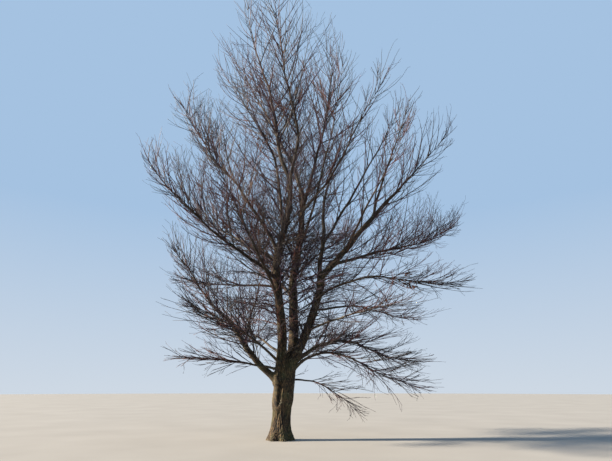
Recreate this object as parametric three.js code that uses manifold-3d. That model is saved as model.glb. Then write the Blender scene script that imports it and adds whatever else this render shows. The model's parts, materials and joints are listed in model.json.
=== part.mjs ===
// A bare winter tree on three stems, standing on the flat cut of its foot, in millimetres and degrees. +Z
// is up. Seen from the front, +X is to the right and +Y is away from the viewer.
import * as THREE from "three";
import { mergeVertices } from "three/addons/utils/BufferGeometryUtils.js";
import Module from "manifold-3d";

const wasm = await Module();
wasm.setup();

// The trunk is a column from its flat cut at the ground to the crotch, with the feet of the stems fused
// on
const TRUNK_HEIGHT = 1780;
const FOOT_RADIUS = 268;
const WAIST_RADIUS = 186;
const CROTCH_RADIUS = 96;
const CROTCH_SHIFT = 120;
const SHIFT_POWER = 1.1;
const FLARE_HEIGHT = 190;
const FLARE_POWER = 1.4;
const NARROWING_FROM = 800;
const ROOT_RIDGES = { count: 6, depth: 0.17, phase: 0.6 };
const FLUTES = { count: 5, depth: 0.05, phase: 1.1 };
const TRUNK_SIDES = 24;
const TRUNK_RINGS = 10;
const RING_CROWDING = 1.5;
const STEM_FOOT_LENGTH = 1640;
const STEM_FOOT_TAPER = 0.4;

// Every limb is a line of equal steps that turns from slope to slope, and a tube that tapers along it
const LINE_STEPS = 14;
const WOBBLE = 5;
const COLLAR = 0.34;
const COLLAR_REACH = 1.5;
const STEM_SIDES = 12;
const BOUGH_SIDES = 8;
const TWIG_STEM_SIDES = 4;
const RING_SPACING = 340;
const TWIG_STEM_RING_SPACING = 520;
const CLEARANCE = 0.4;
const NEIGHBOUR_REACH = 560;
const TIDY = 0.1;

// The side shoots of a mass of twigs, by the rule in shootsOf
const SHOOTS = 10;
const SHOOT_STEPS = 2;
const SHOOT_SIDES = 3;
const SHOOT_ANGLE = 44;
const SHOOT_ANGLE_SPREAD = 14;
const SHOOT_TURN = 137.5;
const SHOOT_REACH = 0.34;
const SHOOT_LIFT = 0.4;
const SHOOT_SWAY = 0.12;
const SHOOT_GIRTH = 0.62;
const SHOOT_TIP_RADIUS = 3.2;
const SHOOT_FIRST = 0.05;
const SHOOT_LAST = 0.93;
const SHOOT_PLACE_SPREAD = 0.3;
const SHOOT_LENGTH_SPREAD = 0.22;
const UPPER_SIDE_GAIN = 0.2;
const SHORTER_PAST_BOUGH = 0.55;
const THICKNESS_BY_LENGTH = 0.012;
const SHOOT_FIRST_ON_ALL_MASS = 0.22;
const SPACE_GAP = 30;
const SITE_SPACING = 60;

// What each chance is drawn for. Shoots take a run of numbers from theirs on.
const USE = { roll: 99, place: 100, lean: 140, length: 180, bendX: 220, bendY: 320 };

// How thin the bark is, from the trunk's at 0 to a twig's at 1
const STEM_BARK = 0.1;
const BOUGH_BARK = 0.35;
const TWIG_BARK = 1;

// The three stems start low inside the trunk, and the trunk takes in the first stretch of each. start is
// where the line begins, slopes are seen from the front, with 90 upright, 0 to the right and 180 to the
// left, away is the lean away from the viewer, and girth is the diameter at the root and at the tip.
const STEMS = [
  { name: "stem_left", start: [-45, -55, 480], slopes: [91, 92, 83, 90, 96, 101, 76, 81, 91, 92],
    away: [-3, -3, 2], length: 5450, girth: [244, 116] },
  { name: "stem_middle", start: [60, 70, 480], slopes: [79, 82, 79, 94, 92, 88, 84, 82, 87, 90],
    away: [4, 2, 4], length: 5150, girth: [276, 124] },
  { name: "stem_right", start: [115, -45, 560], slopes: [86, 86, 67, 65, 74, 75, 82],
    away: [-2, -4, -6], length: 2960, girth: [226, 156] },
];

// The boughs. at is how far along its parent's line each one starts, or "tip" where it goes on from the
// tip. bare is the share of its length that is the bough: the rest is its mass of twigs, and 0 makes it
// all mass. lift is how far its shoots turn up.
const BOUGHS = [
  { name: "right_fork", from: "stem_right", at: 2800, slopes: [96, 84, 82, 84],
    away: [10, 8], length: 1250, girth: [112, 88], bare: 1 },
  { name: "low_left_limb", from: "stem_left", at: 660, slopes: [144, 137, 122, 132, 136, 122, 127, 130],
    away: [-10, -18], length: 3800, girth: [150, 24], bare: 0.42, lift: 0.4 },
  { name: "low_left_upright", from: "low_left_limb", at: 1060, slopes: [92, 84, 70, 96, 102],
    away: [10, 14], length: 1950, girth: [66, 16], bare: 0, lift: 0.35 },
  { name: "low_left_level", from: "stem_left", at: 930, slopes: [172, 170, 178, 184],
    away: [-30, -24], length: 2350, girth: [52, 14], bare: 0, lift: 0.05 },
  { name: "left_level", from: "stem_left", at: 2700, slopes: [158, 178, 176, 172, 170],
    away: [20, 16], length: 2900, girth: [56, 14], bare: 0, lift: 0.15 },
  { name: "left_sweep", from: "stem_left", at: 2880, slopes: [138, 156, 150, 140, 142, 134, 118],
    away: [-34, -28], length: 3950, girth: [82, 18], bare: 0.46, lift: 0.5 },
  { name: "left_mid", from: "stem_left", at: 3320, slopes: [136, 142, 146, 145, 147, 132, 120],
    away: [36, 30], length: 4250, girth: [78, 18], bare: 0.42, lift: 0.5 },
  { name: "left_fork", from: "stem_left", at: 3500, slopes: [112, 128, 122, 134, 122, 121, 122],
    away: [-14, -8], length: 4400, girth: [88, 18], bare: 0.38, lift: 0.5 },
  { name: "left_upper", from: "stem_left", at: 4080, slopes: [98, 94, 102, 118, 118, 124, 124],
    away: [10, 7], length: 5950, girth: [80, 16], bare: 0.38, lift: 0.45 },
  { name: "left_leader", from: "stem_left", at: "tip", slopes: [112, 98, 97, 110, 104, 98, 95],
    away: [-4, -3], length: 6000, girth: [104, 12], bare: 0.34, lift: 0.35 },
  { name: "centre_leader", from: "stem_left", at: 5250, slopes: [76, 82, 104, 100, 99, 99, 98],
    away: [-18, -10], length: 5850, girth: [82, 12], bare: 0.36, lift: 0.35 },
  { name: "middle_leader_left", from: "stem_middle", at: "tip", slopes: [102, 114, 112, 112, 114, 117, 114],
    away: [12, 10], length: 6650, girth: [92, 12], bare: 0.34, lift: 0.35 },
  { name: "middle_leader_right", from: "stem_middle", at: 5000, slopes: [71, 73, 75, 79, 87, 85, 85],
    away: [-4, -2], length: 5500, girth: [88, 12], bare: 0.36, lift: 0.35 },
  { name: "middle_right", from: "stem_middle", at: 4850, slopes: [40, 46, 64, 58, 57],
    away: [-34, -26], length: 4100, girth: [62, 16], bare: 0.36, lift: 0.5 },
  { name: "right_fork_leader", from: "right_fork", at: "tip", slopes: [92, 83, 79, 76, 73],
    away: [16, 20], length: 3800, girth: [88, 16], bare: 0.36, lift: 0.45 },
  { name: "right_fork_outer", from: "right_fork", at: 1100, slopes: [55, 61, 59, 61, 62, 64],
    away: [-8, -4], length: 4050, girth: [70, 16], bare: 0.38, lift: 0.5 },
  { name: "right_main", from: "stem_right", at: "tip", slopes: [48, 52, 50, 45, 50, 47, 44],
    away: [-8, -5], length: 4750, girth: [150, 20], bare: 0.5, lift: 0.5 },
  { name: "right_main_upright", from: "right_main", at: 1900, slopes: [78, 70, 68, 76],
    away: [-34, -28], length: 2850, girth: [62, 16], bare: 0, lift: 0.5 },
  { name: "right_sweep", from: "right_main", at: 420, slopes: [24, 26, 22, 14, 30, 30, 34],
    away: [26, 22], length: 4400, girth: [80, 16], bare: 0.45, lift: 0.4 },
  { name: "right_level_upper", from: "stem_right", at: 2520, slopes: [34, 22, 6, -14, -16, -8, 0],
    away: [-34, -28], length: 3300, girth: [60, 14], bare: 0.42, lift: 0.12 },
  { name: "right_level_lower", from: "stem_right", at: 2250, slopes: [8, 14, -4, -10, 0, 2],
    away: [38, 32], length: 3600, girth: [56, 14], bare: 0, lift: 0.1 },
  { name: "right_arch_upper", from: "stem_right", at: 960, slopes: [48, 32, 16, -10, -26, -18, -8, -4],
    away: [12, 10], length: 3250, girth: [82, 16], bare: 0.42, lift: 0.05 },
  { name: "right_arch_lower", from: "stem_right", at: 740, slopes: [50, 36, 8, -16, -28, -28, -22, -16],
    away: [-18, -14], length: 3050, girth: [68, 16], bare: 0.4, lift: 0.05 },
  { name: "right_droop", from: "stem_right", at: 620, slopes: [10, -8, -30, -42, -44],
    away: [-6, -4], length: 1750, girth: [40, 12], bare: 0, lift: 0 },
  { name: "front_left_low", from: "stem_left", at: 1050, slopes: [138, 152, 160],
    away: [-52, -58], length: 3200, girth: [60, 14], bare: 0, lift: 0.2 },
  { name: "front_right_low", from: "stem_right", at: 1750, slopes: [20, 6, -4],
    away: [-52, -58], length: 3100, girth: [54, 14], bare: 0, lift: 0.15 },
  { name: "front_mid", from: "stem_left", at: 2350, slopes: [112, 118, 112],
    away: [-44, -52], length: 4200, girth: [68, 16], bare: 0.34, lift: 0.4 },
  { name: "front_right_mid", from: "right_main", at: 900, slopes: [66, 58, 62],
    away: [-50, -54], length: 3400, girth: [58, 14], bare: 0, lift: 0.45 },
  { name: "front_high", from: "stem_middle", at: 3750, slopes: [64, 72, 80],
    away: [-34, -46, -42], length: 4700, girth: [68, 16], bare: 0.34, lift: 0.45 },
  { name: "back_left_low", from: "stem_left", at: 1250, slopes: [140, 148, 158],
    away: [50, 58], length: 3500, girth: [62, 14], bare: 0, lift: 0.2 },
  { name: "back_right_low", from: "stem_middle", at: 1000, slopes: [44, 28, 14],
    away: [52, 58], length: 3500, girth: [64, 14], bare: 0, lift: 0.2 },
  { name: "back_left_mid", from: "stem_middle", at: 2550, slopes: [120, 128, 124],
    away: [46, 52], length: 4500, girth: [70, 16], bare: 0.34, lift: 0.4 },
  { name: "back_right_mid", from: "stem_middle", at: 3050, slopes: [58, 50, 54],
    away: [44, 50], length: 4500, girth: [70, 16], bare: 0.34, lift: 0.4 },
  { name: "back_high", from: "stem_middle", at: 4300, slopes: [92, 96, 92],
    away: [30, 38, 32], length: 5100, girth: [68, 14], bare: 0.34, lift: 0.4 },
];

// Bark is dark grey-brown on the trunk and turns redder on thinner wood
const TRUNK_COLOUR = new THREE.Color(0x463d33);
const TWIG_COLOUR = new THREE.Color(0x5c433f);
const TRUNK_ROUGHNESS = 0.93;
const TWIG_ROUGHNESS = 0.78;

const UP = new THREE.Vector3(0, 0, 1);
const FRONT = new THREE.Vector3(0, -1, 0);
const radians = THREE.MathUtils.degToRad;
const { lerp } = THREE.MathUtils;

// A number from 0 to 1 that depends only on a key and on what it is used for
function chance(key, use) {
  let hash = (Math.imul(key ^ 0x9e3779b9, 0x85ebca6b) + Math.imul(use + 1, 0xc2b2ae35)) >>> 0;
  hash = Math.imul(hash ^ (hash >>> 15), 0x2c1b3c6d) >>> 0;
  hash = Math.imul(hash ^ (hash >>> 12), 0x297a2d39) >>> 0;
  return ((hash ^ (hash >>> 15)) >>> 0) / 4294967296;
}

// The same from -1 to 1
const sway = (key, use) => 2 * chance(key, use) - 1;

// Where share s of an even row of values or points falls: the one below it and how far on to the next
function spotIn(row, s) {
  const place = THREE.MathUtils.clamp(s, 0, 1) * (row.length - 1);
  const below = Math.min(Math.floor(place), row.length - 2);
  return { below, on: place - below };
}

function valueAlong(values, s) {
  const { below, on } = spotIn(values, s);
  return lerp(values[below], values[below + 1], on);
}

function vectorAlong(vectors, s) {
  const { below, on } = spotIn(vectors, s);
  return vectors[below].clone().lerp(vectors[below + 1], on);
}

const directionAlong = (limb, s) => vectorAlong(limb.tangents, s).normalize();

// The points of a limb's line, which turns from slope to slope and wavers a little
function lineOf(limb, start) {
  const points = [start];
  for (let step = 0; step < LINE_STEPS; step++) {
    const s = (step + 0.5) / LINE_STEPS;
    const slope = radians(valueAlong(limb.slopes, s) + WOBBLE * sway(limb.key, 2 * step));
    const away = radians(valueAlong(limb.away, s) + WOBBLE * sway(limb.key, 2 * step + 1));
    const flat = Math.cos(away) * (limb.length / LINE_STEPS);
    const rise = new THREE.Vector3(Math.cos(slope) * flat, 0, Math.sin(slope) * flat);
    rise.y = Math.sin(away) * (limb.length / LINE_STEPS);
    points.push(points[step].clone().add(rise));
  }
  return points;
}

// The direction of a line at each of its points. A line that goes on from another starts in that one's
// direction.
function tangentsOf(points, first) {
  const last = points.length - 1;
  const tangents = points.map((_, i) =>
    points[Math.min(i + 1, last)].clone().sub(points[Math.max(i - 1, 0)]).normalize(),
  );
  if (first) tangents[0] = first;
  return tangents;
}

// Works out where a limb runs: from its own start, from a place along its parent, or on from its parent's
// tip. Its collar is what its root is thicker by: a swelling on a side limb, the parent's girth where it
// goes on, and less than nothing at a stem's foot, which comes out of the trunk little by little.
function placeLimb(limb, key, parent) {
  const goesOn = limb.at === "tip";
  const share = goesOn ? 1 : limb.at / parent?.length;
  const start = parent ? vectorAlong(parent.points, share) : new THREE.Vector3(...limb.start);
  const parentRadius = parent ? limbRadius(parent, share) : limb.girth[0] / 2;
  const swelling = parent ? COLLAR : -STEM_FOOT_TAPER;
  const collar = goesOn ? parentRadius - limb.girth[0] / 2 : (swelling * limb.girth[0]) / 2;
  if (goesOn) start.addScaledVector(directionAlong(parent, 1), CLEARANCE);
  const whole = { ...limb, key, collar, reach: COLLAR_REACH * parentRadius };
  whole.points = lineOf(whole, start);
  whole.tangents = tangentsOf(whole.points, goesOn ? directionAlong(parent, 1) : undefined);
  return whole;
}

// A limb's radius at share s of its length: an even taper, with its collar at the root
function limbRadius(limb, s) {
  const fromRoot = (s * limb.length) / limb.reach;
  return lerp(limb.girth[0], limb.girth[1], s) / 2 + limb.collar * Math.exp(-fromRoot * fromRoot);
}

// The part of a limb from one share of its length to another
function stretchOf(limb, from, to, spacing = RING_SPACING) {
  const steps = Math.max(2, Math.round(((to - from) * limb.length) / spacing));
  const shares = Array.from({ length: steps + 1 }, (_, i) => lerp(from, to, i / steps));
  return {
    points: shares.map((s) => vectorAlong(limb.points, s)),
    tangents: shares.map((s) => directionAlong(limb, s)),
    radii: shares.map((s) => limbRadius(limb, s)),
  };
}

// A closed tube along a stretch, made from a cylinder whose rings are moved onto the line, with extra all
// round
function tubeGeometry({ points, tangents, radii }, sides, extra = 0) {
  const last = points.length - 1;
  const geometry = new THREE.CylinderGeometry(1, 1, 1, sides, last);
  const across = new THREE.Vector3().crossVectors(tangents[0], Math.abs(tangents[0].z) < 0.9 ? UP : FRONT);
  const frames = tangents.map((tangent) => {
    across.addScaledVector(tangent, -across.dot(tangent)).normalize();
    return { side: across.clone(), other: new THREE.Vector3().crossVectors(across, tangent) };
  });
  const position = geometry.getAttribute("position");
  for (let i = 0; i < position.count; i++) {
    const ring = Math.round((position.getY(i) + 0.5) * last);
    const radius = radii[ring] + extra;
    const beyond = ring === 0 ? -extra : extra * (ring === last);
    const place = points[ring].clone().addScaledVector(tangents[ring], beyond);
    place.addScaledVector(frames[ring].side, position.getX(i) * radius);
    place.addScaledVector(frames[ring].other, position.getZ(i) * radius);
    position.setXYZ(i, place.x, place.y, place.z);
  }
  return geometry;
}

// The trunk column's centre and mean radius at a height
function columnCentre(height) {
  const rise = Math.max(0, height - FLARE_HEIGHT) / (TRUNK_HEIGHT - FLARE_HEIGHT);
  return new THREE.Vector3(CROTCH_SHIFT * rise ** SHIFT_POWER, 0, height);
}

function columnRadius(height) {
  const flare = (FOOT_RADIUS - WAIST_RADIUS) * Math.exp(-((height / FLARE_HEIGHT) ** FLARE_POWER));
  const narrowing = THREE.MathUtils.smoothstep(height, NARROWING_FROM, TRUNK_HEIGHT);
  return lerp(WAIST_RADIUS, CROTCH_RADIUS, narrowing) + flare;
}

// The share by which a row of ridges round the trunk stands out at an angle
const ridgeAt = ({ count, depth, phase }, angle) => depth * Math.cos(count * angle + phase);

// The trunk column: a cylinder whose rings, crowded towards the foot, follow the two above. It has root
// ridges that fade away upwards, and flutes.
function columnGeometry(extra) {
  const geometry = new THREE.CylinderGeometry(1, 1, 1, TRUNK_SIDES, TRUNK_RINGS);
  const position = geometry.getAttribute("position");
  for (let i = 0; i < position.count; i++) {
    const share = position.getY(i) + 0.5;
    const height = TRUNK_HEIGHT * share ** RING_CROWDING;
    const angle = Math.atan2(-position.getZ(i), position.getX(i));
    const onAxis = Math.hypot(position.getX(i), position.getZ(i)) < 0.5;
    const ridges = ridgeAt(ROOT_RIDGES, angle) * Math.exp(-height / FLARE_HEIGHT) + ridgeAt(FLUTES, angle);
    const radius = onAxis ? 0 : columnRadius(height) * (1 + ridges) + extra;
    const centre = columnCentre(height);
    position.setXYZ(i, centre.x + radius * Math.cos(angle), radius * Math.sin(angle), height);
  }
  return geometry;
}

// A three.js geometry as a solid that can be cut and joined
function solidOf(geometry) {
  const bare = geometry.clone();
  bare.deleteAttribute("normal");
  bare.deleteAttribute("uv");
  const merged = mergeVertices(bare, 1e-3);
  const vertProperties = new Float32Array(merged.getAttribute("position").array);
  const triVerts = new Uint32Array(merged.index.array);
  return new wasm.Manifold(new wasm.Mesh({ numProp: 3, vertProperties, triVerts }));
}

// The largest body of a solid, without the scraps that a cut leaves
const largestOf = (solid) => solid.decompose().sort((a, b) => b.volume() - a.volume())[0];

// A solid as a named mesh. thin is 0 for the trunk's bark and 1 for a twig's.
function meshOf(name, solid, thin) {
  const { vertProperties, triVerts } = solid.simplify(TIDY).getMesh();
  const geometry = new THREE.BufferGeometry();
  geometry.setAttribute("position", new THREE.BufferAttribute(new Float32Array(vertProperties), 3));
  geometry.setIndex(new THREE.BufferAttribute(new Uint32Array(triVerts), 1));
  geometry.computeVertexNormals();
  const bark = new THREE.MeshStandardMaterial({
    color: TRUNK_COLOUR.clone().lerp(TWIG_COLOUR, thin),
    roughness: lerp(TRUNK_ROUGHNESS, TWIG_ROUGHNESS, thin),
    metalness: 0,
  });
  const mesh = new THREE.Mesh(geometry, bark);
  mesh.name = name;
  return mesh;
}

// Points along every limb's line, with its radius there, that the shoots of the others are held clear of
function sitesAlong(limb) {
  const count = Math.ceil(limb.length / SITE_SPACING);
  return Array.from({ length: count + 1 }, (_, i) => ({
    owner: limb.name,
    point: vectorAlong(limb.points, i / count),
    radius: limbRadius(limb, i / count),
  }));
}

// Whether a point lies in its owner's space: nearer to that limb than to any other, with a gap
function inSpace(point, owner, sites) {
  let own = Infinity;
  let other = Infinity;
  for (const site of sites) {
    const gap = site.point.distanceTo(point) - site.radius;
    if (site.owner === owner) own = Math.min(own, gap);
    else other = Math.min(other, gap);
  }
  return other > Math.max(own, 0) + SPACE_GAP;
}

// One side shoot, from a place along its limb: it leaves at a lean, rolled round the limb, turns up by
// the limb's lift, and stops where it would leave the limb's space.
function shootOf(limb, from, number, sites) {
  const { key } = limb;
  const turn = number + 0.5 + SHOOT_PLACE_SPREAD * sway(key, USE.place + number);
  const place = lerp(SHOOT_FIRST, SHOOT_LAST, turn / SHOOTS);
  const s = lerp(from, 1, place);
  const along = directionAlong(limb, s);
  const side = new THREE.Vector3().crossVectors(along, UP).normalize();
  const over = new THREE.Vector3().crossVectors(side, along);
  const roll = radians(360 * chance(key, USE.roll) + SHOOT_TURN * number);
  const lean = radians(SHOOT_ANGLE + SHOOT_ANGLE_SPREAD * sway(key, USE.lean + number));
  const direction = along.multiplyScalar(Math.cos(lean));
  direction.addScaledVector(side, Math.sin(lean) * Math.cos(roll));
  direction.addScaledVector(over, Math.sin(lean) * Math.sin(roll));
  const shape = Math.sqrt(1 - place) * (1 + UPPER_SIDE_GAIN * Math.sin(roll));
  const spread = 1 + SHOOT_LENGTH_SPREAD * sway(key, USE.length + number);
  const length = SHOOT_REACH * limb.length * (1 - SHORTER_PAST_BOUGH * from) * shape * spread;
  const points = [vectorAlong(limb.points, s)];
  for (let step = 0; step < SHOOT_STEPS; step++) {
    const use = SHOOT_STEPS * number + step;
    direction.x += SHOOT_SWAY * sway(key, USE.bendX + use);
    direction.y += SHOOT_SWAY * sway(key, USE.bendY + use);
    direction.z += SHOOT_LIFT * limb.lift;
    direction.normalize();
    const next = points[step].clone().addScaledVector(direction, length / SHOOT_STEPS);
    if (!inSpace(next, limb.name, sites)) break;
    points.push(next);
  }
  const root = Math.min(SHOOT_GIRTH * limbRadius(limb, s), SHOOT_TIP_RADIUS + THICKNESS_BY_LENGTH * length);
  const radii = points.map((_, i) => lerp(root, SHOOT_TIP_RADIUS, i / (points.length - 1)));
  return { points, radii, tangents: tangentsOf(points) };
}

// Every limb's place comes first, because the shoots keep clear of them all
const placed = new Map();
for (const limb of [...STEMS, ...BOUGHS]) {
  placed.set(limb.name, placeLimb(limb, placed.size + 1, placed.get(limb.from)));
}
const sites = [...placed.values()].flatMap(sitesAlong);

const stems = STEMS.map(({ name }) => placed.get(name));
const boughs = BOUGHS.map(({ name }) => placed.get(name));

// The trunk: the column and the feet of the stems as one solid, with extra all round it
function trunkSolid(extra) {
  const feet = stems.map((stem) => stretchOf(stem, 0, STEM_FOOT_LENGTH / stem.length));
  const solids = feet.map((foot) => solidOf(tubeGeometry(foot, STEM_SIDES, extra)));
  return wasm.Manifold.union([solidOf(columnGeometry(extra)), ...solids]);
}

const tree = new THREE.Group();
tree.name = "bare_winter_tree";
tree.add(meshOf("trunk", trunkSolid(0), 0));

// What a later limb gives way to where it passes near that limb's root
const trunkPoints = stems.flatMap(({ points }) => points.slice(0, LINE_STEPS / 2));
const earlier = [{ points: trunkPoints, withGap: trunkSolid(CLEARANCE) }];

// Adds a stretch of a limb, with its shoots fused on, cut clear of what stands near its root
function addStretch(name, limb, from, to, { sides, spacing, thin, shoots = [] }) {
  const stretch = stretchOf(limb, from, to, spacing);
  const root = stretch.points[0];
  let solid = solidOf(tubeGeometry(stretch, sides));
  for (const other of earlier) {
    const isNear = other.points.some((point) => point.distanceTo(root) < NEIGHBOUR_REACH);
    const meetsFaceToFace = other.end?.distanceTo(root) < 2 * CLEARANCE;
    if (isNear && !meetsFaceToFace) solid = solid.subtract(other.withGap);
  }
  const twigs = shoots.map((shoot) => solidOf(tubeGeometry(shoot, SHOOT_SIDES)));
  solid = largestOf(wasm.Manifold.union([largestOf(solid), ...twigs]));
  const withGap = solidOf(tubeGeometry(stretch, sides, CLEARANCE));
  earlier.push({ points: stretch.points, end: stretch.points.at(-1), withGap });
  tree.add(meshOf(name, solid, thin));
}

for (const stem of stems) {
  const from = (STEM_FOOT_LENGTH + CLEARANCE) / stem.length;
  addStretch(stem.name, stem, from, 1, { sides: STEM_SIDES, spacing: RING_SPACING, thin: STEM_BARK });
}
for (const bough of boughs.filter(({ bare }) => bare > 0)) {
  const form = { sides: BOUGH_SIDES, spacing: RING_SPACING, thin: BOUGH_BARK };
  addStretch(bough.name, bough, 0, bough.bare, form);
}
for (const bough of boughs.filter(({ bare }) => bare < 1)) {
  const from = bough.bare > 0 ? bough.bare + CLEARANCE / bough.length : 0;
  const firstShoot = Math.max(bough.bare, SHOOT_FIRST_ON_ALL_MASS);
  const numbers = Array.from({ length: SHOOTS }, (_, number) => number);
  const shoots = numbers
    .map((number) => shootOf(bough, firstShoot, number, sites))
    .filter(({ points }) => points.length > 2);
  const form = { sides: TWIG_STEM_SIDES, spacing: TWIG_STEM_RING_SPACING, thin: TWIG_BARK, shoots };
  addStretch(`${bough.name}_twigs`, bough, from, 1, form);
}

export default tree;
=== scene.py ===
"""The looks of a bare winter tree on three stems.

Ridged bark wraps the trunk, the stems and the boughs, and twigs grow on from the boughs by the rule of the
solids, carried on to finer ones. Sizes are given in millimetres and degrees unless their class says that they
are in metres. Whatever is worked out from them is in metres, with +Z up the tree and +Y away from the viewer
of its front.
"""

import json
import logging
import math
from abc import ABC, abstractmethod
from collections.abc import Iterable, Iterator, Sequence
from dataclasses import dataclass, field, fields, replace
from enum import Enum

import bpy
import numpy as np
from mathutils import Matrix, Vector, noise

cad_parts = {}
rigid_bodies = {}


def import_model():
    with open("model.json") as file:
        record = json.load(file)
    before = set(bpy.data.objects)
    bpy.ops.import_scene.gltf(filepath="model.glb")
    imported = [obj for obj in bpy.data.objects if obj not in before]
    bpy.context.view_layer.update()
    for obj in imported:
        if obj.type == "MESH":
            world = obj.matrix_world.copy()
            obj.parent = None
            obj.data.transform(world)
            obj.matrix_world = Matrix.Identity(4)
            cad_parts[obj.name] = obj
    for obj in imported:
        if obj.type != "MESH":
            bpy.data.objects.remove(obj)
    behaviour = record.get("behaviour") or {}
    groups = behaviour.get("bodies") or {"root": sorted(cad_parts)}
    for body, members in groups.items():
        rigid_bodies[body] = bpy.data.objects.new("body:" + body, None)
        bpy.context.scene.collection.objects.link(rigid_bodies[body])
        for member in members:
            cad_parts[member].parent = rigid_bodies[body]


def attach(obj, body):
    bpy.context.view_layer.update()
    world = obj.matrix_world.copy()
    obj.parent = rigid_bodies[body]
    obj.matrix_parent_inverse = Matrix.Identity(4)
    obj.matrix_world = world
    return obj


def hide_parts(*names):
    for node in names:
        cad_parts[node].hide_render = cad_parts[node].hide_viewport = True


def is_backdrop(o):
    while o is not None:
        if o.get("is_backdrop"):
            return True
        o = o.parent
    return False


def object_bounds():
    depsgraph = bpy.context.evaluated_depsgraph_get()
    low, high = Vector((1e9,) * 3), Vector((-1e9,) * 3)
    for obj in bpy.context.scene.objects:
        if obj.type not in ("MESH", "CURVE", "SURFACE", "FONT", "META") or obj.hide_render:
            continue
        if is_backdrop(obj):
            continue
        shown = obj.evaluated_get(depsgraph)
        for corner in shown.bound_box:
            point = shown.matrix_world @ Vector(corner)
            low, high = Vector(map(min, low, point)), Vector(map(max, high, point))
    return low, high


log = logging.getLogger("bare_winter_tree")

MM = 0.001
BODY = "root"
TRUNK = "trunk"

# A line's first direction across it is square to UP, or square to FRONT where the line starts too steep
UP = np.array([0.0, 0.0, 1.0])
FRONT = np.array([0.0, -1.0, 0.0])
STEEP = 0.9

# The line of every limb, by the rule of the solids
LINE_STEPS = 14
WOBBLE = 5.0
COLLAR = 0.34
COLLAR_REACH = 1.5
STEM_FOOT_TAPER = 0.4
CLEARANCE = 0.4
FIRST_SHOOT_ON_ALL_MASS = 0.22
SHORTER_PAST_BOUGH = 0.55

# The share of the finer shoots that grows, in even steps from the ground to the top of the crown
CROWN_FULLNESS = (1.0, 1.0, 1.0, 0.96, 0.92, 0.85, 0.54, 0.16, 0.03)

# The chances that shape the tree come from keys, mixed as 32-bit words
WORD = np.uint64(0xFFFFFFFF)
KEY_SPREAD = np.uint64(0x9E3779B9)
MIXERS = tuple(np.uint64(mixer) for mixer in (0x85EBCA6B, 0xC2B2AE35, 0x2C1B3C6D, 0x297A2D39))
SHIFTS = (np.uint64(15), np.uint64(12))
CHILD_KEY_STEP = 131
CHILD_KEY_START = 7

# The place and the sRGB colour of each stop in a row of colours
Stops = tuple[tuple[float, str], ...]


class Use(Enum):
    """What a chance is drawn for. Each shoot takes the number that is its own more than the first."""

    ROLL = 99
    PLACE = 100
    LEAN = 140
    LENGTH = 180
    BEND_X = 220
    BEND_Y = 320
    TURN = 420
    TINT = 460
    LEAF = 500
    GROWS = 600


class Kind(Enum):
    """The kinds of thin wood, from the thickest to the thinnest."""

    SHOOT = "shoots"
    BRANCHLET = "branchlets"
    TWIG = "twigs"


class Slot(Enum):
    """The record's material slots: the bark of each kind of limb, and the twigs."""

    TRUNK_BARK = "trunk_bark"
    STEM_BARK = "stem_bark"
    BOUGH_BARK = "bough_bark"
    TWIGS = "twigs"


class Face(Enum):
    """The two faces of the tree, by the sign of Y on them."""

    FRONT = -1.0
    BACK = 1.0


def chance(key: np.ndarray | int, use: np.ndarray | int) -> np.ndarray:
    """Gives numbers from 0 to 1 that depend only on a key and on what they are used for.

    Args:
        key: The key, or one for each number.
        use: The use, or one for each number.

    Returns:
        The numbers.
    """
    keys = np.asarray(key, np.uint64)
    uses = np.asarray(use, np.uint64) + np.uint64(1)
    mixed = (((keys ^ KEY_SPREAD) * MIXERS[0] & WORD) + (uses * MIXERS[1] & WORD)) & WORD
    mixed = (mixed ^ (mixed >> SHIFTS[0])) * MIXERS[2] & WORD
    mixed = (mixed ^ (mixed >> SHIFTS[1])) * MIXERS[3] & WORD
    return (mixed ^ (mixed >> SHIFTS[0])) / 2.0**32


def sway(key: np.ndarray | int, use: np.ndarray | int) -> np.ndarray:
    """Gives the same numbers spread from -1 to 1."""
    return 2.0 * chance(key, use) - 1.0


def unit(vectors: np.ndarray) -> np.ndarray:
    """Scales vectors to a length of 1."""
    return vectors / np.linalg.norm(vectors, axis=-1, keepdims=True)


def lengths_of(lines: np.ndarray) -> np.ndarray:
    """Gives the length of each line of points."""
    return np.linalg.norm(np.diff(lines, axis=1), axis=2).sum(1)


def smoothstep(low: float, high: float, value: np.ndarray) -> np.ndarray:
    """Eases from 0 at low to 1 at high."""
    share = np.clip((value - low) / (high - low), 0.0, 1.0)
    return share * share * (3.0 - 2.0 * share)


def step_under(places: np.ndarray, last: np.ndarray | int) -> tuple[np.ndarray, np.ndarray]:
    """Splits places along a row into the step that each lies on and the share of that step.

    Args:
        places: The places, with the row's points at the whole numbers.
        last: The number of the last step.

    Returns:
        The numbers of the steps and the shares.
    """
    below = np.minimum(np.floor(places).astype(int), last)
    return below, places - below


def value_along(row: Sequence[float] | np.ndarray, shares: np.ndarray | float) -> np.ndarray:
    """Reads an even row of values or points at shares of its length.

    Args:
        row: The values, or the points.
        shares: Where to read, from 0 to 1.

    Returns:
        One value or point for each share, on the straight line between the two that it falls between.
    """
    values = np.asarray(row, float)
    below, on = step_under(np.clip(shares, 0.0, 1.0) * (len(values) - 1), len(values) - 2)
    if values.ndim > 1:
        on = np.expand_dims(on, -1)
    return values[below] * (1.0 - on) + values[below + 1] * on


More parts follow.
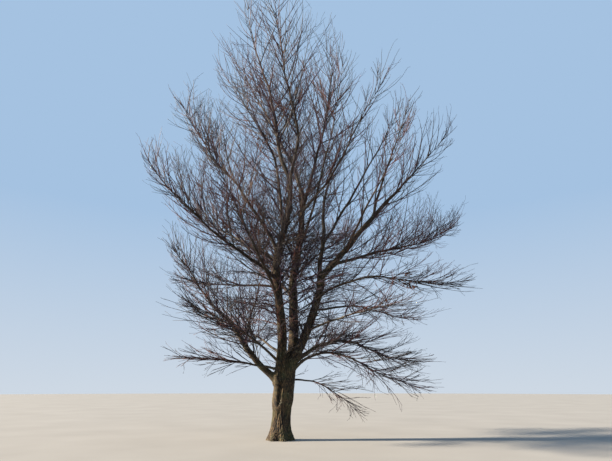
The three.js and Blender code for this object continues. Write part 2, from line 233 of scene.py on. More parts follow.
def bend_between(
    ends: tuple[np.ndarray, np.ndarray], leanings: tuple[np.ndarray, np.ndarray], on: np.ndarray
) -> np.ndarray:
    """Gives points on smooth curves from one point to another.

    Args:
        ends: Where the curves start and end.
        leanings: Where they head at their starts and at their ends, as steps of the curves' own length.
        on: How far along its curve each point lies, from 0 to 1.

    Returns:
        The points.
    """
    start, end = ends
    leaving, arriving = leanings
    curve = start * (1 + 2 * on) * (1 - on) ** 2 + leaving * on * (1 - on) ** 2
    return curve + end * (3 - 2 * on) * on**2 + arriving * (on - 1) * on**2


def resampled(points: np.ndarray, counts: np.ndarray, shares: np.ndarray) -> np.ndarray:
    """Runs smooth curves through the points of many lines.

    Args:
        points: The points of the lines, of which the first counts + 1 of each are used.
        counts: The number of steps of each line.
        shares: Where on the curves points are wanted, from 0 to 1.

    Returns:
        The points of the curves.
    """
    lines = np.arange(len(points))[:, None]
    below, on = step_under(shares[None] * counts[:, None], counts[:, None] - 1)
    start, end = points[lines, below], points[lines, below + 1]
    before = points[lines, np.maximum(below - 1, 0)]
    after = points[lines, np.minimum(below + 2, counts[:, None])]
    leaving = np.where(below[..., None] == 0, end - start, (end - before) / 2)
    arriving = np.where(below[..., None] + 1 == counts[:, None, None], end - start, (after - start) / 2)
    return bend_between((start, end), (leaving, arriving), on[..., None])


def tangents_of(points: np.ndarray) -> np.ndarray:
    """Gives the direction of each line at each of its points.

    Args:
        points: The points, with the points of a line next to last in the array.

    Returns:
        Directions of length 1, in an array of the same shape.
    """
    steps = np.empty_like(points)
    steps[..., 1:-1, :] = points[..., 2:, :] - points[..., :-2, :]
    steps[..., 0, :] = points[..., 1, :] - points[..., 0, :]
    steps[..., -1, :] = points[..., -1, :] - points[..., -2, :]
    return unit(steps)


def frames_along(tangents: np.ndarray) -> tuple[np.ndarray, np.ndarray]:
    """Turns two directions across each line along it, without a twist.

    Args:
        tangents: Directions of the lines, as tangents_of gives them.

    Returns:
        The two directions across, each in an array of the same shape.
    """
    first = tangents[..., 0, :]
    steep = np.abs(first[..., 2:]) > STEEP
    start = np.cross(first, np.where(steep, FRONT, UP))
    side = np.empty_like(tangents)
    for i in range(tangents.shape[-2]):
        tangent = tangents[..., i, :]
        start = unit(start - tangent * np.sum(start * tangent, -1, keepdims=True))
        side[..., i, :] = start
    return side, np.cross(side, tangents)


def angles_round(count: int) -> np.ndarray:
    """Gives even angles once round a circle."""
    return np.linspace(0.0, 2.0 * math.pi, count, endpoint=False)


def spokes(sides: np.ndarray, others: np.ndarray, count: int) -> np.ndarray:
    """Gives even directions out from points of lines.

    Args:
        sides: One direction across the line at each point.
        others: The other direction across it, square to the first.
        count: How many directions each point gets.

    Returns:
        The directions, with those of one point next to last in the array.
    """
    angles = angles_round(count)[:, None]
    return sides[..., None, :] * np.cos(angles) + others[..., None, :] * np.sin(angles)


def make_object(
    name: str,
    vertices: np.ndarray,
    faces: list[list[int]],
    materials: Sequence[bpy.types.Material],
) -> bpy.types.Object:
    """Makes one smooth mesh object and links it to the scene.

    Args:
        name: The piece's name.
        vertices: Its points.
        faces: The numbers of the points round each face.
        materials: Its materials, in the order of their slots.

    Returns:
        The new object.
    """
    mesh = bpy.data.meshes.new(name)
    mesh.from_pydata(vertices.tolist(), [], faces)
    mesh.polygons.foreach_set("use_smooth", np.ones(len(faces), bool))
    for material in materials:
        mesh.materials.append(material)
    piece = bpy.data.objects.new(name, mesh)
    bpy.context.scene.collection.objects.link(piece)
    return piece


def triangles_of(piece: bpy.types.Object) -> int:
    """Counts the triangles of a piece."""
    mesh = piece.data
    return len(mesh.loops) - 2 * len(mesh.polygons)


def report(piece: bpy.types.Object) -> None:
    """Logs a piece with how many triangles it has."""
    log.info("%s: %d triangles", piece.name, triangles_of(piece))


def hand_over(piece: bpy.types.Object, slot: Slot, nodes: Iterable[str]) -> None:
    """Fixes a piece to the tree, in place of its solids, and reports it.

    Args:
        piece: The piece.
        slot: The record's material slot that its finish stands for. It is not used.
        nodes: The solids that it replaces.
    """
    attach(piece, BODY)
    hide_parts(*nodes)
    report(piece)


@dataclass(frozen=True)
class LimbSpec:
    """Where a limb runs and how thick it is.

    slopes are seen from the front, with 90 upright, 0 to the right and 180 to the left, and away is the lean
    away from the viewer. girth is the diameter at the root and at the tip. at is how far along its parent
    the limb starts, or None where it goes on from the parent's tip. bare is the share of its length with no
    twigs, lift is how far its shoots turn up, and fullness is the share of its finer shoots that grow. A limb
    with no parent has a place of its own where it starts.
    """

    name: str
    slopes: tuple[float, ...]
    away: tuple[float, ...]
    length: float
    girth: tuple[float, float]
    parent: str | None = None
    at: float | None = None
    bare: float = 1.0
    lift: float = 0.0
    fullness: float = 1.0
    start: tuple[float, float, float] = (0.0, 0.0, 0.0)


STEMS = (
    LimbSpec("stem_left", (91, 92, 83, 90, 96, 101, 76, 81, 91, 92), (-3, -3, 2), 5450, (244, 116),
             start=(-45, -55, 480)),
    LimbSpec("stem_middle", (79, 82, 79, 94, 92, 88, 84, 82, 87, 90), (4, 2, 4), 5150, (276, 124),
             start=(60, 70, 480)),
    LimbSpec("stem_right", (86, 86, 67, 65, 74, 75, 82), (-2, -4, -6), 2960, (226, 156),
             start=(115, -45, 560)),
)

BOUGHS = (
    LimbSpec("right_fork", (96, 84, 82, 84), (10, 8), 1250, (112, 88),
             parent="stem_right", at=2800),
    LimbSpec("low_left_limb", (144, 137, 122, 132, 136, 122, 127, 130), (-10, -18), 3800, (150, 24),
             parent="stem_left", at=660, bare=0.42, lift=0.4),
    LimbSpec("low_left_upright", (92, 84, 70, 96, 102), (10, 14), 1950, (66, 16),
             parent="low_left_limb", at=1060, bare=0, lift=0.35),
    LimbSpec("low_left_level", (172, 170, 178, 184), (-30, -24), 2350, (52, 14),
             parent="stem_left", at=930, bare=0, lift=0.05),
    LimbSpec("left_level", (158, 178, 176, 172, 170), (20, 16), 2900, (56, 14),
             parent="stem_left", at=2700, bare=0, lift=0.15),
    LimbSpec("left_sweep", (138, 156, 150, 140, 142, 134, 118), (-34, -28), 3950, (82, 18),
             parent="stem_left", at=2880, bare=0.46, lift=0.5),
    LimbSpec("left_mid", (136, 142, 146, 145, 147, 132, 120), (36, 30), 4250, (78, 18),
             parent="stem_left", at=3320, bare=0.42, lift=0.5),
    LimbSpec("left_fork", (112, 128, 122, 134, 122, 121, 122), (-14, -8), 4400, (88, 18),
             parent="stem_left", at=3500, bare=0.38, lift=0.5),
    LimbSpec("left_upper", (98, 94, 102, 118, 118, 124, 124), (10, 7), 5950, (80, 16),
             parent="stem_left", at=4080, bare=0.38, lift=0.45, fullness=0.65),
    LimbSpec("left_leader", (112, 98, 97, 110, 104, 98, 95), (-4, -3), 6000, (104, 12),
             parent="stem_left", bare=0.34, lift=0.35),
    LimbSpec("centre_leader", (76, 82, 104, 100, 99, 99, 98), (-18, -10), 5850, (82, 12),
             parent="stem_left", at=5250, bare=0.36, lift=0.35),
    LimbSpec("middle_leader_left", (102, 114, 112, 112, 114, 117, 114), (12, 10), 6650, (92, 12),
             parent="stem_middle", bare=0.34, lift=0.35),
    LimbSpec("middle_leader_right", (71, 73, 75, 79, 87, 85, 85), (-4, -2), 5500, (88, 12),
             parent="stem_middle", at=5000, bare=0.36, lift=0.35, fullness=0.8),
    LimbSpec("middle_right", (40, 46, 64, 58, 57), (-34, -26), 4100, (62, 16),
             parent="stem_middle", at=4850, bare=0.36, lift=0.5, fullness=0.55),
    LimbSpec("right_fork_leader", (92, 83, 79, 76, 73), (16, 20), 3800, (88, 16),
             parent="right_fork", bare=0.36, lift=0.45, fullness=0.6),
    LimbSpec("right_fork_outer", (55, 61, 59, 61, 62, 64), (-8, -4), 4050, (70, 16),
             parent="right_fork", at=1100, bare=0.38, lift=0.5, fullness=0.45),
    LimbSpec("right_main", (48, 52, 50, 45, 50, 47, 44), (-8, -5), 4750, (150, 20),
             parent="stem_right", bare=0.5, lift=0.5, fullness=0.6),
    LimbSpec("right_main_upright", (78, 70, 68, 76), (-34, -28), 2850, (62, 16),
             parent="right_main", at=1900, bare=0, lift=0.5, fullness=0.38),
    LimbSpec("right_sweep", (24, 26, 22, 14, 30, 30, 34), (26, 22), 4400, (80, 16),
             parent="right_main", at=420, bare=0.45, lift=0.4),
    LimbSpec("right_level_upper", (34, 22, 6, -14, -16, -8, 0), (-34, -28), 3300, (60, 14),
             parent="stem_right", at=2520, bare=0.42, lift=0.12),
    LimbSpec("right_level_lower", (8, 14, -4, -10, 0, 2), (38, 32), 3600, (56, 14),
             parent="stem_right", at=2250, bare=0, lift=0.1, fullness=0.75),
    LimbSpec("right_arch_upper", (48, 32, 16, -10, -26, -18, -8, -4), (12, 10), 3250, (82, 16),
             parent="stem_right", at=960, bare=0.42, lift=0.05),
    LimbSpec("right_arch_lower", (50, 36, 8, -16, -28, -28, -22, -16), (-18, -14), 3050, (68, 16),
             parent="stem_right", at=740, bare=0.4, lift=0.05),
    LimbSpec("right_droop", (10, -8, -30, -42, -44), (-6, -4), 1750, (40, 12),
             parent="stem_right", at=620, bare=0, lift=0),
    LimbSpec("front_left_low", (138, 152, 160), (-52, -58), 3200, (60, 14),
             parent="stem_left", at=1050, bare=0, lift=0.2),
    LimbSpec("front_right_low", (20, 6, -4), (-52, -58), 3100, (54, 14),
             parent="stem_right", at=1750, bare=0, lift=0.15, fullness=0.65),
    LimbSpec("front_mid", (112, 118, 112), (-44, -52), 4200, (68, 16),
             parent="stem_left", at=2350, bare=0.34, lift=0.4, fullness=0.75),
    LimbSpec("front_right_mid", (66, 58, 62), (-50, -54), 3400, (58, 14),
             parent="right_main", at=900, bare=0, lift=0.45, fullness=0.5),
    LimbSpec("front_high", (64, 72, 80), (-34, -46, -42), 4700, (68, 16),
             parent="stem_middle", at=3750, bare=0.34, lift=0.45, fullness=0.4),
    LimbSpec("back_left_low", (140, 148, 158), (50, 58), 3500, (62, 14),
             parent="stem_left", at=1250, bare=0, lift=0.2),
    LimbSpec("back_right_low", (44, 28, 14), (52, 58), 3500, (64, 14),
             parent="stem_middle", at=1000, bare=0, lift=0.2),
    LimbSpec("back_left_mid", (120, 128, 124), (46, 52), 4500, (70, 16),
             parent="stem_middle", at=2550, bare=0.34, lift=0.4),
    LimbSpec("back_right_mid", (58, 50, 54), (44, 50), 4500, (70, 16),
             parent="stem_middle", at=3050, bare=0.34, lift=0.4),
    LimbSpec("back_high", (92, 96, 92), (30, 38, 32), 5100, (68, 14),
             parent="stem_middle", at=4300, bare=0.34, lift=0.4),
)


@dataclass
class Limb:
    """A limb in its place. Its collar is what its root is thicker by, which fades over its reach."""

    spec: LimbSpec
    key: int
    parent: "Limb | None" = None
    length: float = field(init=False)
    collar: float = field(init=False)
    reach: float = field(init=False)
    points: np.ndarray = field(init=False)
    tangents: np.ndarray = field(init=False)

    def __post_init__(self) -> None:
        """Works out the limb's line and its collar."""
        spec, parent = self.spec, self.parent
        self.length = spec.length * MM
        root_radius = self.root_radius
        share = 1.0 if spec.at is None or parent is None else spec.at / parent.spec.length
        parent_radius = parent.radius(share) if parent else root_radius
        self.collar = (COLLAR if parent else -STEM_FOOT_TAPER) * root_radius
        if self.goes_on:
            self.collar = parent_radius - root_radius
        self.reach = COLLAR_REACH * float(parent_radius)
        start = value_along(parent.points, share) if parent else np.array(spec.start) * MM
        if self.goes_on:
            start = start + parent.tangents[-1] * (CLEARANCE * MM)
        self.points = self.line_from(start)
        self.tangents = tangents_of(self.points)
        if self.goes_on:
            self.tangents[0] = parent.tangents[-1]

    @property
    def name(self) -> str:
        """The limb's name."""
        return self.spec.name

    @property
    def root_radius(self) -> float:
        """The radius that its root would have without its collar."""
        return self.spec.girth[0] / 2 * MM

    @property
    def goes_on(self) -> bool:
        """Whether the limb goes on from its parent's tip."""
        return self.parent is not None and self.spec.at is None

    @property
    def has_bough(self) -> bool:
        """Whether the part of it without twigs is a solid of its own."""
        return self.spec.bare > 0.0

    @property
    def has_twigs(self) -> bool:
        """Whether it ends in a mass of twigs."""
        return self.parent is not None and self.spec.bare < 1.0

    @property
    def first_twig(self) -> float:
        """The share of the limb's length where its twigs begin."""
        return max(self.spec.bare, FIRST_SHOOT_ON_ALL_MASS)

    @property
    def mass(self) -> str:
        """The name of the solid that is its mass of twigs."""
        return f"{self.name}_twigs"

    def line_from(self, start: np.ndarray) -> np.ndarray:
        """Gives the points of the limb's line, which turns from slope to slope and wavers a little.

        Args:
            start: Its first point.

        Returns:
            One point more than there are steps.
        """
        steps = np.arange(LINE_STEPS)
        shares = (steps + 0.5) / LINE_STEPS
        slope = np.radians(value_along(self.spec.slopes, shares) + WOBBLE * sway(self.key, 2 * steps))
        away = np.radians(value_along(self.spec.away, shares) + WOBBLE * sway(self.key, 2 * steps + 1))
        rises = np.stack([np.cos(slope) * np.cos(away), np.sin(away), np.sin(slope) * np.cos(away)], 1)
        return start + np.vstack([np.zeros(3), np.cumsum(rises * self.length / LINE_STEPS, 0)])

    def radius(self, shares: np.ndarray | float) -> np.ndarray:
        """Gives the limb's radius: an even taper, with its collar at the root.

        Args:
            shares: Shares of its length.

        Returns:
            One radius for each share.
        """
        shares = np.asarray(shares, float)
        girth = self.spec.girth[0] + (self.spec.girth[1] - self.spec.girth[0]) * shares
        return girth / 2 * MM + self.collar * np.exp(-((shares * self.length / self.reach) ** 2))

    def curve(self, shares: np.ndarray) -> np.ndarray:
        """Gives points on the smooth curve through the points of the line.

        Args:
            shares: Shares of its length. One below 0 is straight back from the root.

        Returns:
            One point for each share.
        """
        inside = np.clip(shares, 0.0, 1.0)
        below, on = step_under(inside * LINE_STEPS, LINE_STEPS - 1)
        step = self.length / LINE_STEPS
        ends = (self.points[below], self.points[below + 1])
        leanings = (self.tangents[below] * step, self.tangents[below + 1] * step)
        back = self.tangents[0] * ((shares - inside) * self.length)[:, None]
        return bend_between(ends, leanings, on[:, None]) + back


@dataclass(frozen=True)
class Core:
    """The line and the thickness of a limb or the trunk, that others are held clear of or flow into."""

    name: str
    points: np.ndarray
    radii: np.ndarray

    def gap(self, places: np.ndarray) -> np.ndarray:
        """Tells how far places lie outside the core.

        Args:
            places: Points anywhere.

        Returns:
            One distance for each, below 0 inside.
        """
        best = np.full(len(places), np.inf)
        for start, end, here, there in zip(
            self.points[:-1], self.points[1:], self.radii[:-1], self.radii[1:]
        ):
            step = end - start
            on = np.clip((places - start) @ step / (step @ step), 0.0, 1.0)
            away = places - start - on[:, None] * step
            best = np.minimum(best, np.sqrt(np.sum(away * away, 1)) - (here + on * (there - here)))
        return best

    def near(self, other: "Core", reach: float) -> bool:
        """Tells whether the boxes round two cores come close to each other.

        Args:
            other: The other core.
            reach: How close.

        Returns:
            Whether they do.
        """
        margin = self.radii.max() + other.radii.max() + reach
        below = other.points.min(0) - margin <= self.points.max(0)
        above = other.points.max(0) + margin >= self.points.min(0)
        return bool(np.all(below & above))


def linear(hex_colour: str) -> tuple[float, float, float, float]:
    """Turns an sRGB colour into linear light.

    Args:
        hex_colour: The colour, such as #6b5c48.

    Returns:
        Its red, green and blue, with full alpha.
    """
    parts = [int(hex_colour[i : i + 2], 16) / 255 for i in (1, 3, 5)]
    red, green, blue = (v / 12.92 if v <= 0.04045 else ((v + 0.055) / 1.055) ** 2.4 for v in parts)
    return red, green, blue, 1.0


def per_metre(millimetres: float) -> float:
    """The scale of a pattern whose features are so many millimetres apart."""
    return 1.0 / (millimetres * MM)


def add_node(
    tree: bpy.types.NodeTree,
    kind: str,
    inputs: dict[str | int, object] | None = None,
    stops: Stops = (),
    **settings: object,
) -> bpy.types.Node:
    """Adds a node with its settings and its inputs.

    Args:
        tree: The node tree.
        kind: The node's type, such as ShaderNodeTexNoise.
        inputs: A value or another node's output for each input, by name or number. Mix nodes take numbers
            at 2 and 3, and colours at 6 and 7.
        stops: The stops of its row of colours, for a node that has one.
        settings: The node's own properties.

    Returns:
        The new node.
    """
    node = tree.nodes.new(kind)
    for name, value in settings.items():
        setattr(node, name, value)
    for name, value in (inputs or {}).items():
        if isinstance(value, bpy.types.NodeSocket):
            tree.links.new(value, node.inputs[name])
        else:
            node.inputs[name].default_value = value
    for place, _ in stops[1:-1]:
        node.color_ramp.elements.new(place)
    for number, (place, hex_colour) in enumerate(stops):
        node.color_ramp.elements[number].position = place
        node.color_ramp.elements[number].color = linear(hex_colour)
    return node


class Finish(ABC):
    """What every finish shares: its patterns lie over the object in metres, and one shader shows them."""

    name: str
    roughness: float
    ior: float

    @abstractmethod
    def surface(self, tree: bpy.types.NodeTree, place: bpy.types.NodeSocket) -> dict[str, object]:
        """Adds the patterns of the finish.

        Args:
            tree: The material's node tree.
            place: The place on the object.

        Returns:
            The shader's inputs that they lead to.
        """

    def material(self) -> bpy.types.Material:
        """Builds the material.

        Returns:
            The new material.
        """
        material = bpy.data.materials.new(self.name)
        material.use_nodes = True
        tree = material.node_tree
        tree.nodes.clear()
        place = add_node(tree, "ShaderNodeTexCoord").outputs["Object"]
        inputs = {"Roughness": self.roughness, "IOR": self.ior} | self.surface(tree, place)
        shader = add_node(tree, "ShaderNodeBsdfPrincipled", inputs)
        add_node(tree, "ShaderNodeOutputMaterial", {"Surface": shader.outputs["BSDF"]})
        return material


@dataclass(frozen=True)
class RidgedBark(Finish):
    """Weathered bark of living hardwood: dry and matt, grey-brown on its ridges and nearly black between.

    It turns to smooth, redder bark on thinner wood, and green algae grow on it near the ground. old runs from
    its furrows over its ridges to their crests, with painted shade over the darker bark of the furrows and
    the cracks, and young from its flakes' edges to their middles. stretch is how much closer its pattern lies
    round the wood than along it. Algae and lichen come in between the two values of their patterns
    that their spans give.
    """

    name: str = "ridged_hardwood_bark"
    # The furrow stop is darker bark with painted shade laid into the furrows
    old: Stops = ((0.22, "#0a0807"), (0.5, "#31281e"), (0.85, "#5c4931"))
    young: Stops = ((0.3, "#1a130f"), (0.65, "#39291f"))
    flake_mm: float = 7.0
    flake_roughness: float = 0.6
    stretch: float = 0.24
    ridge_share: float = 0.55
    crack_mm: float = 16.0
    crack_width: float = 0.16
    # How far the painted shade in the cracks darkens the bark's colour
    crack_shade: float = 0.45
    algae: str = "#4b5030"
    algae_mm: float = 260.0
    algae_span: tuple[float, float] = (0.46, 0.66)
    algae_top_mm: float = 3200.0
    algae_at_foot: float = 0.45
    algae_at_top: float = 0.1
    lichen: str = "#7d8069"
    lichen_mm: float = 55.0
    lichen_span: tuple[float, float] = (0.62, 0.7)
    lichen_share: float = 0.45
    relief_mm: float = 3.0
    relief_strength: float = 0.9
    roughness: float = 0.92
    young_roughness: float = 0.7
    ior: float = 1.45

    def surface(self, tree: bpy.types.NodeTree, place: bpy.types.NodeSocket) -> dict[str, object]:
        """Adds flakes and cracks over the grain, the ridges and the age that the bark's mesh carries.

        Args:
            tree: The material's node tree.
            place: The place on the object.

        Returns:
            The shader's inputs that they lead to.
        """
        grain = add_node(tree, "ShaderNodeAttribute", attribute_name="grain").outputs["Vector"]
        ridge = add_node(tree, "ShaderNodeAttribute", attribute_name="ridge").outputs["Fac"]
        age = add_node(tree, "ShaderNodeAttribute", attribute_name="age").outputs["Fac"]
        along = add_node(tree, "ShaderNodeVectorMath", {0: grain, 1: (1.0, 1.0, self.stretch)},
                         operation="MULTIPLY").outputs["Vector"]
        flakes = add_node(tree, "ShaderNodeTexNoise", {
            "Vector": along, "Scale": per_metre(self.flake_mm), "Detail": 4.0,
            "Roughness": self.flake_roughness,
        }).outputs["Fac"]
        cracks = add_node(tree, "ShaderNodeTexVoronoi", {
            "Vector": along, "Scale": per_metre(self.crack_mm),
        }, feature="DISTANCE_TO_EDGE").outputs["Distance"]
        height = add_node(tree, "ShaderNodeMix", {0: self.ridge_share, 2: flakes, 3: ridge}).outputs[0]
        # The furrows' near-black colour is darker bark with painted shade laid into the furrows
        old = add_node(tree, "ShaderNodeValToRGB", {"Fac": height}, self.old).outputs["Color"]
        young = add_node(tree, "ShaderNodeValToRGB", {"Fac": flakes}, self.young).outputs["Color"]
        wood = add_node(tree, "ShaderNodeMix", {0: age, 6: young, 7: old}, data_type="RGBA").outputs[2]
        # The cracks darken the colour, darker bark with painted shade in them, and the same factor sinks the
        # bump
        crack_depth_and_shade = add_node(tree, "ShaderNodeMapRange", {
            "Value": cracks, "From Min": 0.0, "From Max": self.crack_width,
            "To Min": self.crack_shade, "To Max": 1.0,
        }).outputs["Result"]
        wood = add_node(tree, "ShaderNodeVectorMath", {0: wood, "Scale": crack_depth_and_shade},
                        operation="SCALE").outputs["Vector"]
        deep = add_node(tree, "ShaderNodeMath", {0: height, 1: crack_depth_and_shade}, operation="MULTIPLY").outputs[0]
        bump = add_node(tree, "ShaderNodeBump", {
            "Height": deep, "Strength": self.relief_strength, "Distance": self.relief_mm * MM,
        }).outputs["Normal"]
        rough = add_node(tree, "ShaderNodeMapRange", {
            "Value": age, "To Min": self.young_roughness, "To Max": self.roughness,
        }).outputs["Result"]
        return {"Base Color": self.with_growth(tree, wood, place), "Roughness": rough, "Normal": bump}

    def with_growth(
        self, tree: bpy.types.NodeTree, wood: bpy.types.NodeSocket, place: bpy.types.NodeSocket
    ) -> bpy.types.NodeSocket:
        """Adds green algae low down and grey spots of lichen over the colour of the wood.

        Args:
            tree: The material's node tree.
            wood: The colour of the wood.
            place: The place on the object.

        Returns:
            The colour of the wood with its growth.
        """
        patches = add_node(tree, "ShaderNodeTexNoise", {
            "Vector": place, "Scale": per_metre(self.algae_mm), "Detail": 3.0,
        }).outputs["Fac"]
        patchy = add_node(tree, "ShaderNodeMapRange", {
            "Value": patches, "From Min": self.algae_span[0], "From Max": self.algae_span[1],
        }).outputs["Result"]
        height = add_node(tree, "ShaderNodeSeparateXYZ", {0: place}).outputs["Z"]
        low = add_node(tree, "ShaderNodeMapRange", {
            "Value": height, "From Min": 0.0, "From Max": self.algae_top_mm * MM,
            "To Min": self.algae_at_foot, "To Max": self.algae_at_top,
        }).outputs["Result"]
        green = add_node(tree, "ShaderNodeMath", {0: low, 1: patchy}, operation="MULTIPLY").outputs[0]
        wood = add_node(tree, "ShaderNodeMix", {0: green, 6: wood, 7: linear(self.algae)},
                        data_type="RGBA").outputs[2]
        spots = add_node(tree, "ShaderNodeTexNoise", {
            "Vector": place, "Scale": per_metre(self.lichen_mm), "Detail": 5.0,
        }).outputs["Fac"]
        spotted = add_node(tree, "ShaderNodeMapRange", {
            "Value": spots, "From Min": self.lichen_span[0], "From Max": self.lichen_span[1],
            "To Max": self.lichen_share,
        }).outputs["Result"]
        return add_node(tree, "ShaderNodeMix", {0: spotted, 6: wood, 7: linear(self.lichen)},
                        data_type="RGBA").outputs[2]


class TwigTint(Enum):
    """The shades of a year's thin wood, dealt out by spray."""

    PURPLE_BROWN = "#2b1a2c"
    RED_BROWN = "#46221d"
    DARK_BROWN = "#171116"
    GREY_BROWN = "#2c2422"


@dataclass(frozen=True)
class TwigBark(Finish):
    """Bark of thin twigs: a smooth, slightly waxy skin with fine pale pores.

    The pores only change how it shines, from the roughness of the skin to their own. Real ones lie 2 to 3 mm
    apart, which is too fine to show, so they are drawn further apart.
    """

    tint: TwigTint
    pore_mm: float = 9.0
    pore_span: tuple[float, float] = (0.35, 0.65)
    roughness: float = 0.48
    pore_roughness: float = 0.75
    ior: float = 1.45

    @property
    def name(self) -> str:
        """The material's name, with its tint."""
        return f"smooth_twig_bark_{self.tint.name.lower()}"

    def surface(self, tree: bpy.types.NodeTree, place: bpy.types.NodeSocket) -> dict[str, object]:
        """Adds the pores.

        Args:
            tree: The material's node tree.
            place: The place on the object.

        Returns:
            The shader's inputs that they lead to, with its tint.
        """
        pores = add_node(tree, "ShaderNodeTexNoise", {
            "Vector": place, "Scale": per_metre(self.pore_mm), "Detail": 2.0,
        }).outputs["Fac"]
        rough = add_node(tree, "ShaderNodeMapRange", {
            "Value": pores, "From Min": self.pore_span[0], "From Max": self.pore_span[1],
            "To Min": self.roughness, "To Max": self.pore_roughness,
        }).outputs["Result"]
        return {"Base Color": linear(self.tint.value), "Roughness": rough}


@dataclass(frozen=True)
class WitheredLeaf(Finish):
    """Dead leaf tissue: papery, dull and rust-brown, mottled darker where it is rotting."""

    name: str = "withered_leaf"
    mottling: Stops = ((0.38, "#2f1e15"), (0.6, "#7a4a2c"))
    mottle_mm: float = 14.0
    crinkle_mm: float = 1.0
    crinkle_strength: float = 0.5
    roughness: float = 0.85
    ior: float = 1.4

    def surface(self, tree: bpy.types.NodeTree, place: bpy.types.NodeSocket) -> dict[str, object]:
        """Adds the mottling and the crinkles.

        Args:
            tree: The material's node tree.
            place: The place on the object.

        Returns:
            The shader's inputs that they lead to.
        """
        mottle = add_node(tree, "ShaderNodeTexNoise", {
            "Vector": place, "Scale": per_metre(self.mottle_mm), "Detail": 3.0,
        }).outputs["Fac"]
        colour = add_node(tree, "ShaderNodeValToRGB", {"Fac": mottle}, self.mottling).outputs["Color"]
        bump = add_node(tree, "ShaderNodeBump", {
            "Height": mottle, "Strength": self.crinkle_strength, "Distance": self.crinkle_mm * MM,
        }).outputs["Normal"]
        return {"Base Color": colour, "Normal": bump}


@dataclass(frozen=True)
class StudioPlaster(Finish):
    """A floor of pale plaster, trowelled smooth: matt, with a barely uneven tone."""

    name: str = "pale_studio_plaster"
    tones: Stops = ((0.3, "#91908c"), (0.7, "#989793"))
    tone_mm: float = 1800.0
    roughness: float = 0.95
    ior: float = 1.5
    specular: float = 0.15

    def surface(self, tree: bpy.types.NodeTree, place: bpy.types.NodeSocket) -> dict[str, object]:
        """Adds the uneven tone.

        Args:
            tree: The material's node tree.
            place: The place on the object.

        Returns:
            The shader's inputs that it leads to.
        """
        tone = add_node(tree, "ShaderNodeTexNoise", {
            "Vector": place, "Scale": per_metre(self.tone_mm), "Detail": 2.0,
        }).outputs["Fac"]
        colour = add_node(tree, "ShaderNodeValToRGB", {"Fac": tone}, self.tones).outputs["Color"]
        return {"Base Color": colour, "Specular IOR Level": self.specular}


@dataclass(frozen=True)
class BarkRelief:
    """How bark stands out in ridges with furrows between, finer and shallower on thinner wood.

    The scales of drift, waver and grit are by the ridges' width. The drift shifts each ridge along the wood
    against those beside it, so that they don't end in rows. mean_height is how high the wood's mean surface
    lies, from 0 in a furrow to 1 on a ridge, and aged holds the radii between which smooth young bark turns
    to old.
    """

    width_share: float = 0.17
    narrowest: float = 7.0
    widest: float = 30.0
    length_by_width: float = 7.0
    depth_share: float = 0.055
    deepest: float = 11.0
    furrow_edges: tuple[float, float] = (0.02, 0.3)
    drift: float = 2.5
    drift_scale: float = 0.7
    waver: float = 0.45
    waver_scale: float = 0.35
    grit: float = 0.12
    grit_scale: float = 2.3
    mean_height: float = 0.7
    aged: tuple[float, float] = (12.0, 70.0)
    key_shift: float = 17.0

    def ridges(self, grain: np.ndarray, radius: float, key: int) -> np.ndarray:
        """Tells how high bark stands, from 0 in a furrow to 1 on a ridge.

        Args:
            grain: Places round and along the wood, in metres.
            radius: Its radius at the root, which sets how wide the ridges are.
            key: What sets this wood's pattern apart.

        Returns:
            One height for each place.
        """
        # The bends start from this seed, so that each run gives the same bark
        noise.seed_set(key)
        width = float(np.clip(self.width_share * radius, self.narrowest * MM, self.widest * MM))
        scaled = grain / np.array([width, width, width * self.length_by_width]) + self.key_shift * key
        heights = np.empty(len(grain))
        for i, place in enumerate(scaled):
            spot = Vector(place)
            spot.z += self.drift * noise.noise(Vector((spot.x, spot.y, 0.0)) * self.drift_scale)
            bend = noise.noise_vector(spot * self.waver_scale)
            nearest, second = noise.voronoi(spot + bend * self.waver)[0][:2]
            heights[i] = second - nearest + self.grit * noise.noise(spot * self.grit_scale)
        return smoothstep(*self.furrow_edges, heights)

    def rise(self, ridges: np.ndarray, radii: np.ndarray) -> np.ndarray:
        """Turns the heights from 0 to 1 into metres above or below the wood's mean surface."""
        depth = np.minimum(self.depth_share * radii, self.deepest * MM)
        return depth * (ridges - self.mean_height)

    def age(self, radii: np.ndarray) -> np.ndarray:
        """Tells how old bark looks on wood of the radii, from 0 for young to 1 for old."""
        return smoothstep(self.aged[0] * MM, self.aged[1] * MM, radii)


@dataclass(frozen=True)
class Fillet:
    """How two limbs flow into each other where they meet."""

    share: float = 0.75
    widest: float = 60.0

    def rise(self, gap: np.ndarray, radius: float) -> np.ndarray:
        """Tells how far a limb's skin is raised near another limb.

        The rise follows a round hollow between the two, up to the middle of it, and goes on straight into
        the other limb from there.

        Args:
            gap: The distance from the other limb's skin.
            radius: The radius of the thinner limb's root.

        Returns:
            One rise for each distance, in metres.
        """
        round_radius = min(self.share * radius, self.widest * MM)
        middle = round_radius * (1.0 - math.sqrt(0.5))
        free = np.clip(gap, 0.0, round_radius)
        arc = round_radius - np.sqrt(round_radius**2 - (round_radius - np.maximum(free, middle)) ** 2)
        return arc + np.maximum(0.0, middle - free)


@dataclass(frozen=True)
class Seam:
    """A groove where two stems have grown together, from the crotch down one face of the trunk.

    across is where it runs at its foot and at its top.
    """

    across: tuple[float, float]
    face: Face
    depth: float
    heights: tuple[float, float] = (550.0, 2050.0)
    half_width: float = 32.0
    fading: float = 350.0

    def depth_at(self, places: np.ndarray) -> np.ndarray:
        """Tells how deep the groove is.

        Args:
            places: Places on the bark.

        Returns:
            One depth for each place, in metres.
        """
        foot, top = self.heights
        tall = places[:, 2] / MM
        middle = np.interp(tall, self.heights, self.across)
        near = np.exp(-(((places[:, 0] / MM - middle) / self.half_width) ** 2))
        fade = smoothstep(foot, foot + self.fading, tall) * (1.0 - smoothstep(top, top + self.fading, tall))
        return self.depth * MM * near * fade * (places[:, 1] * self.face.value > 0)


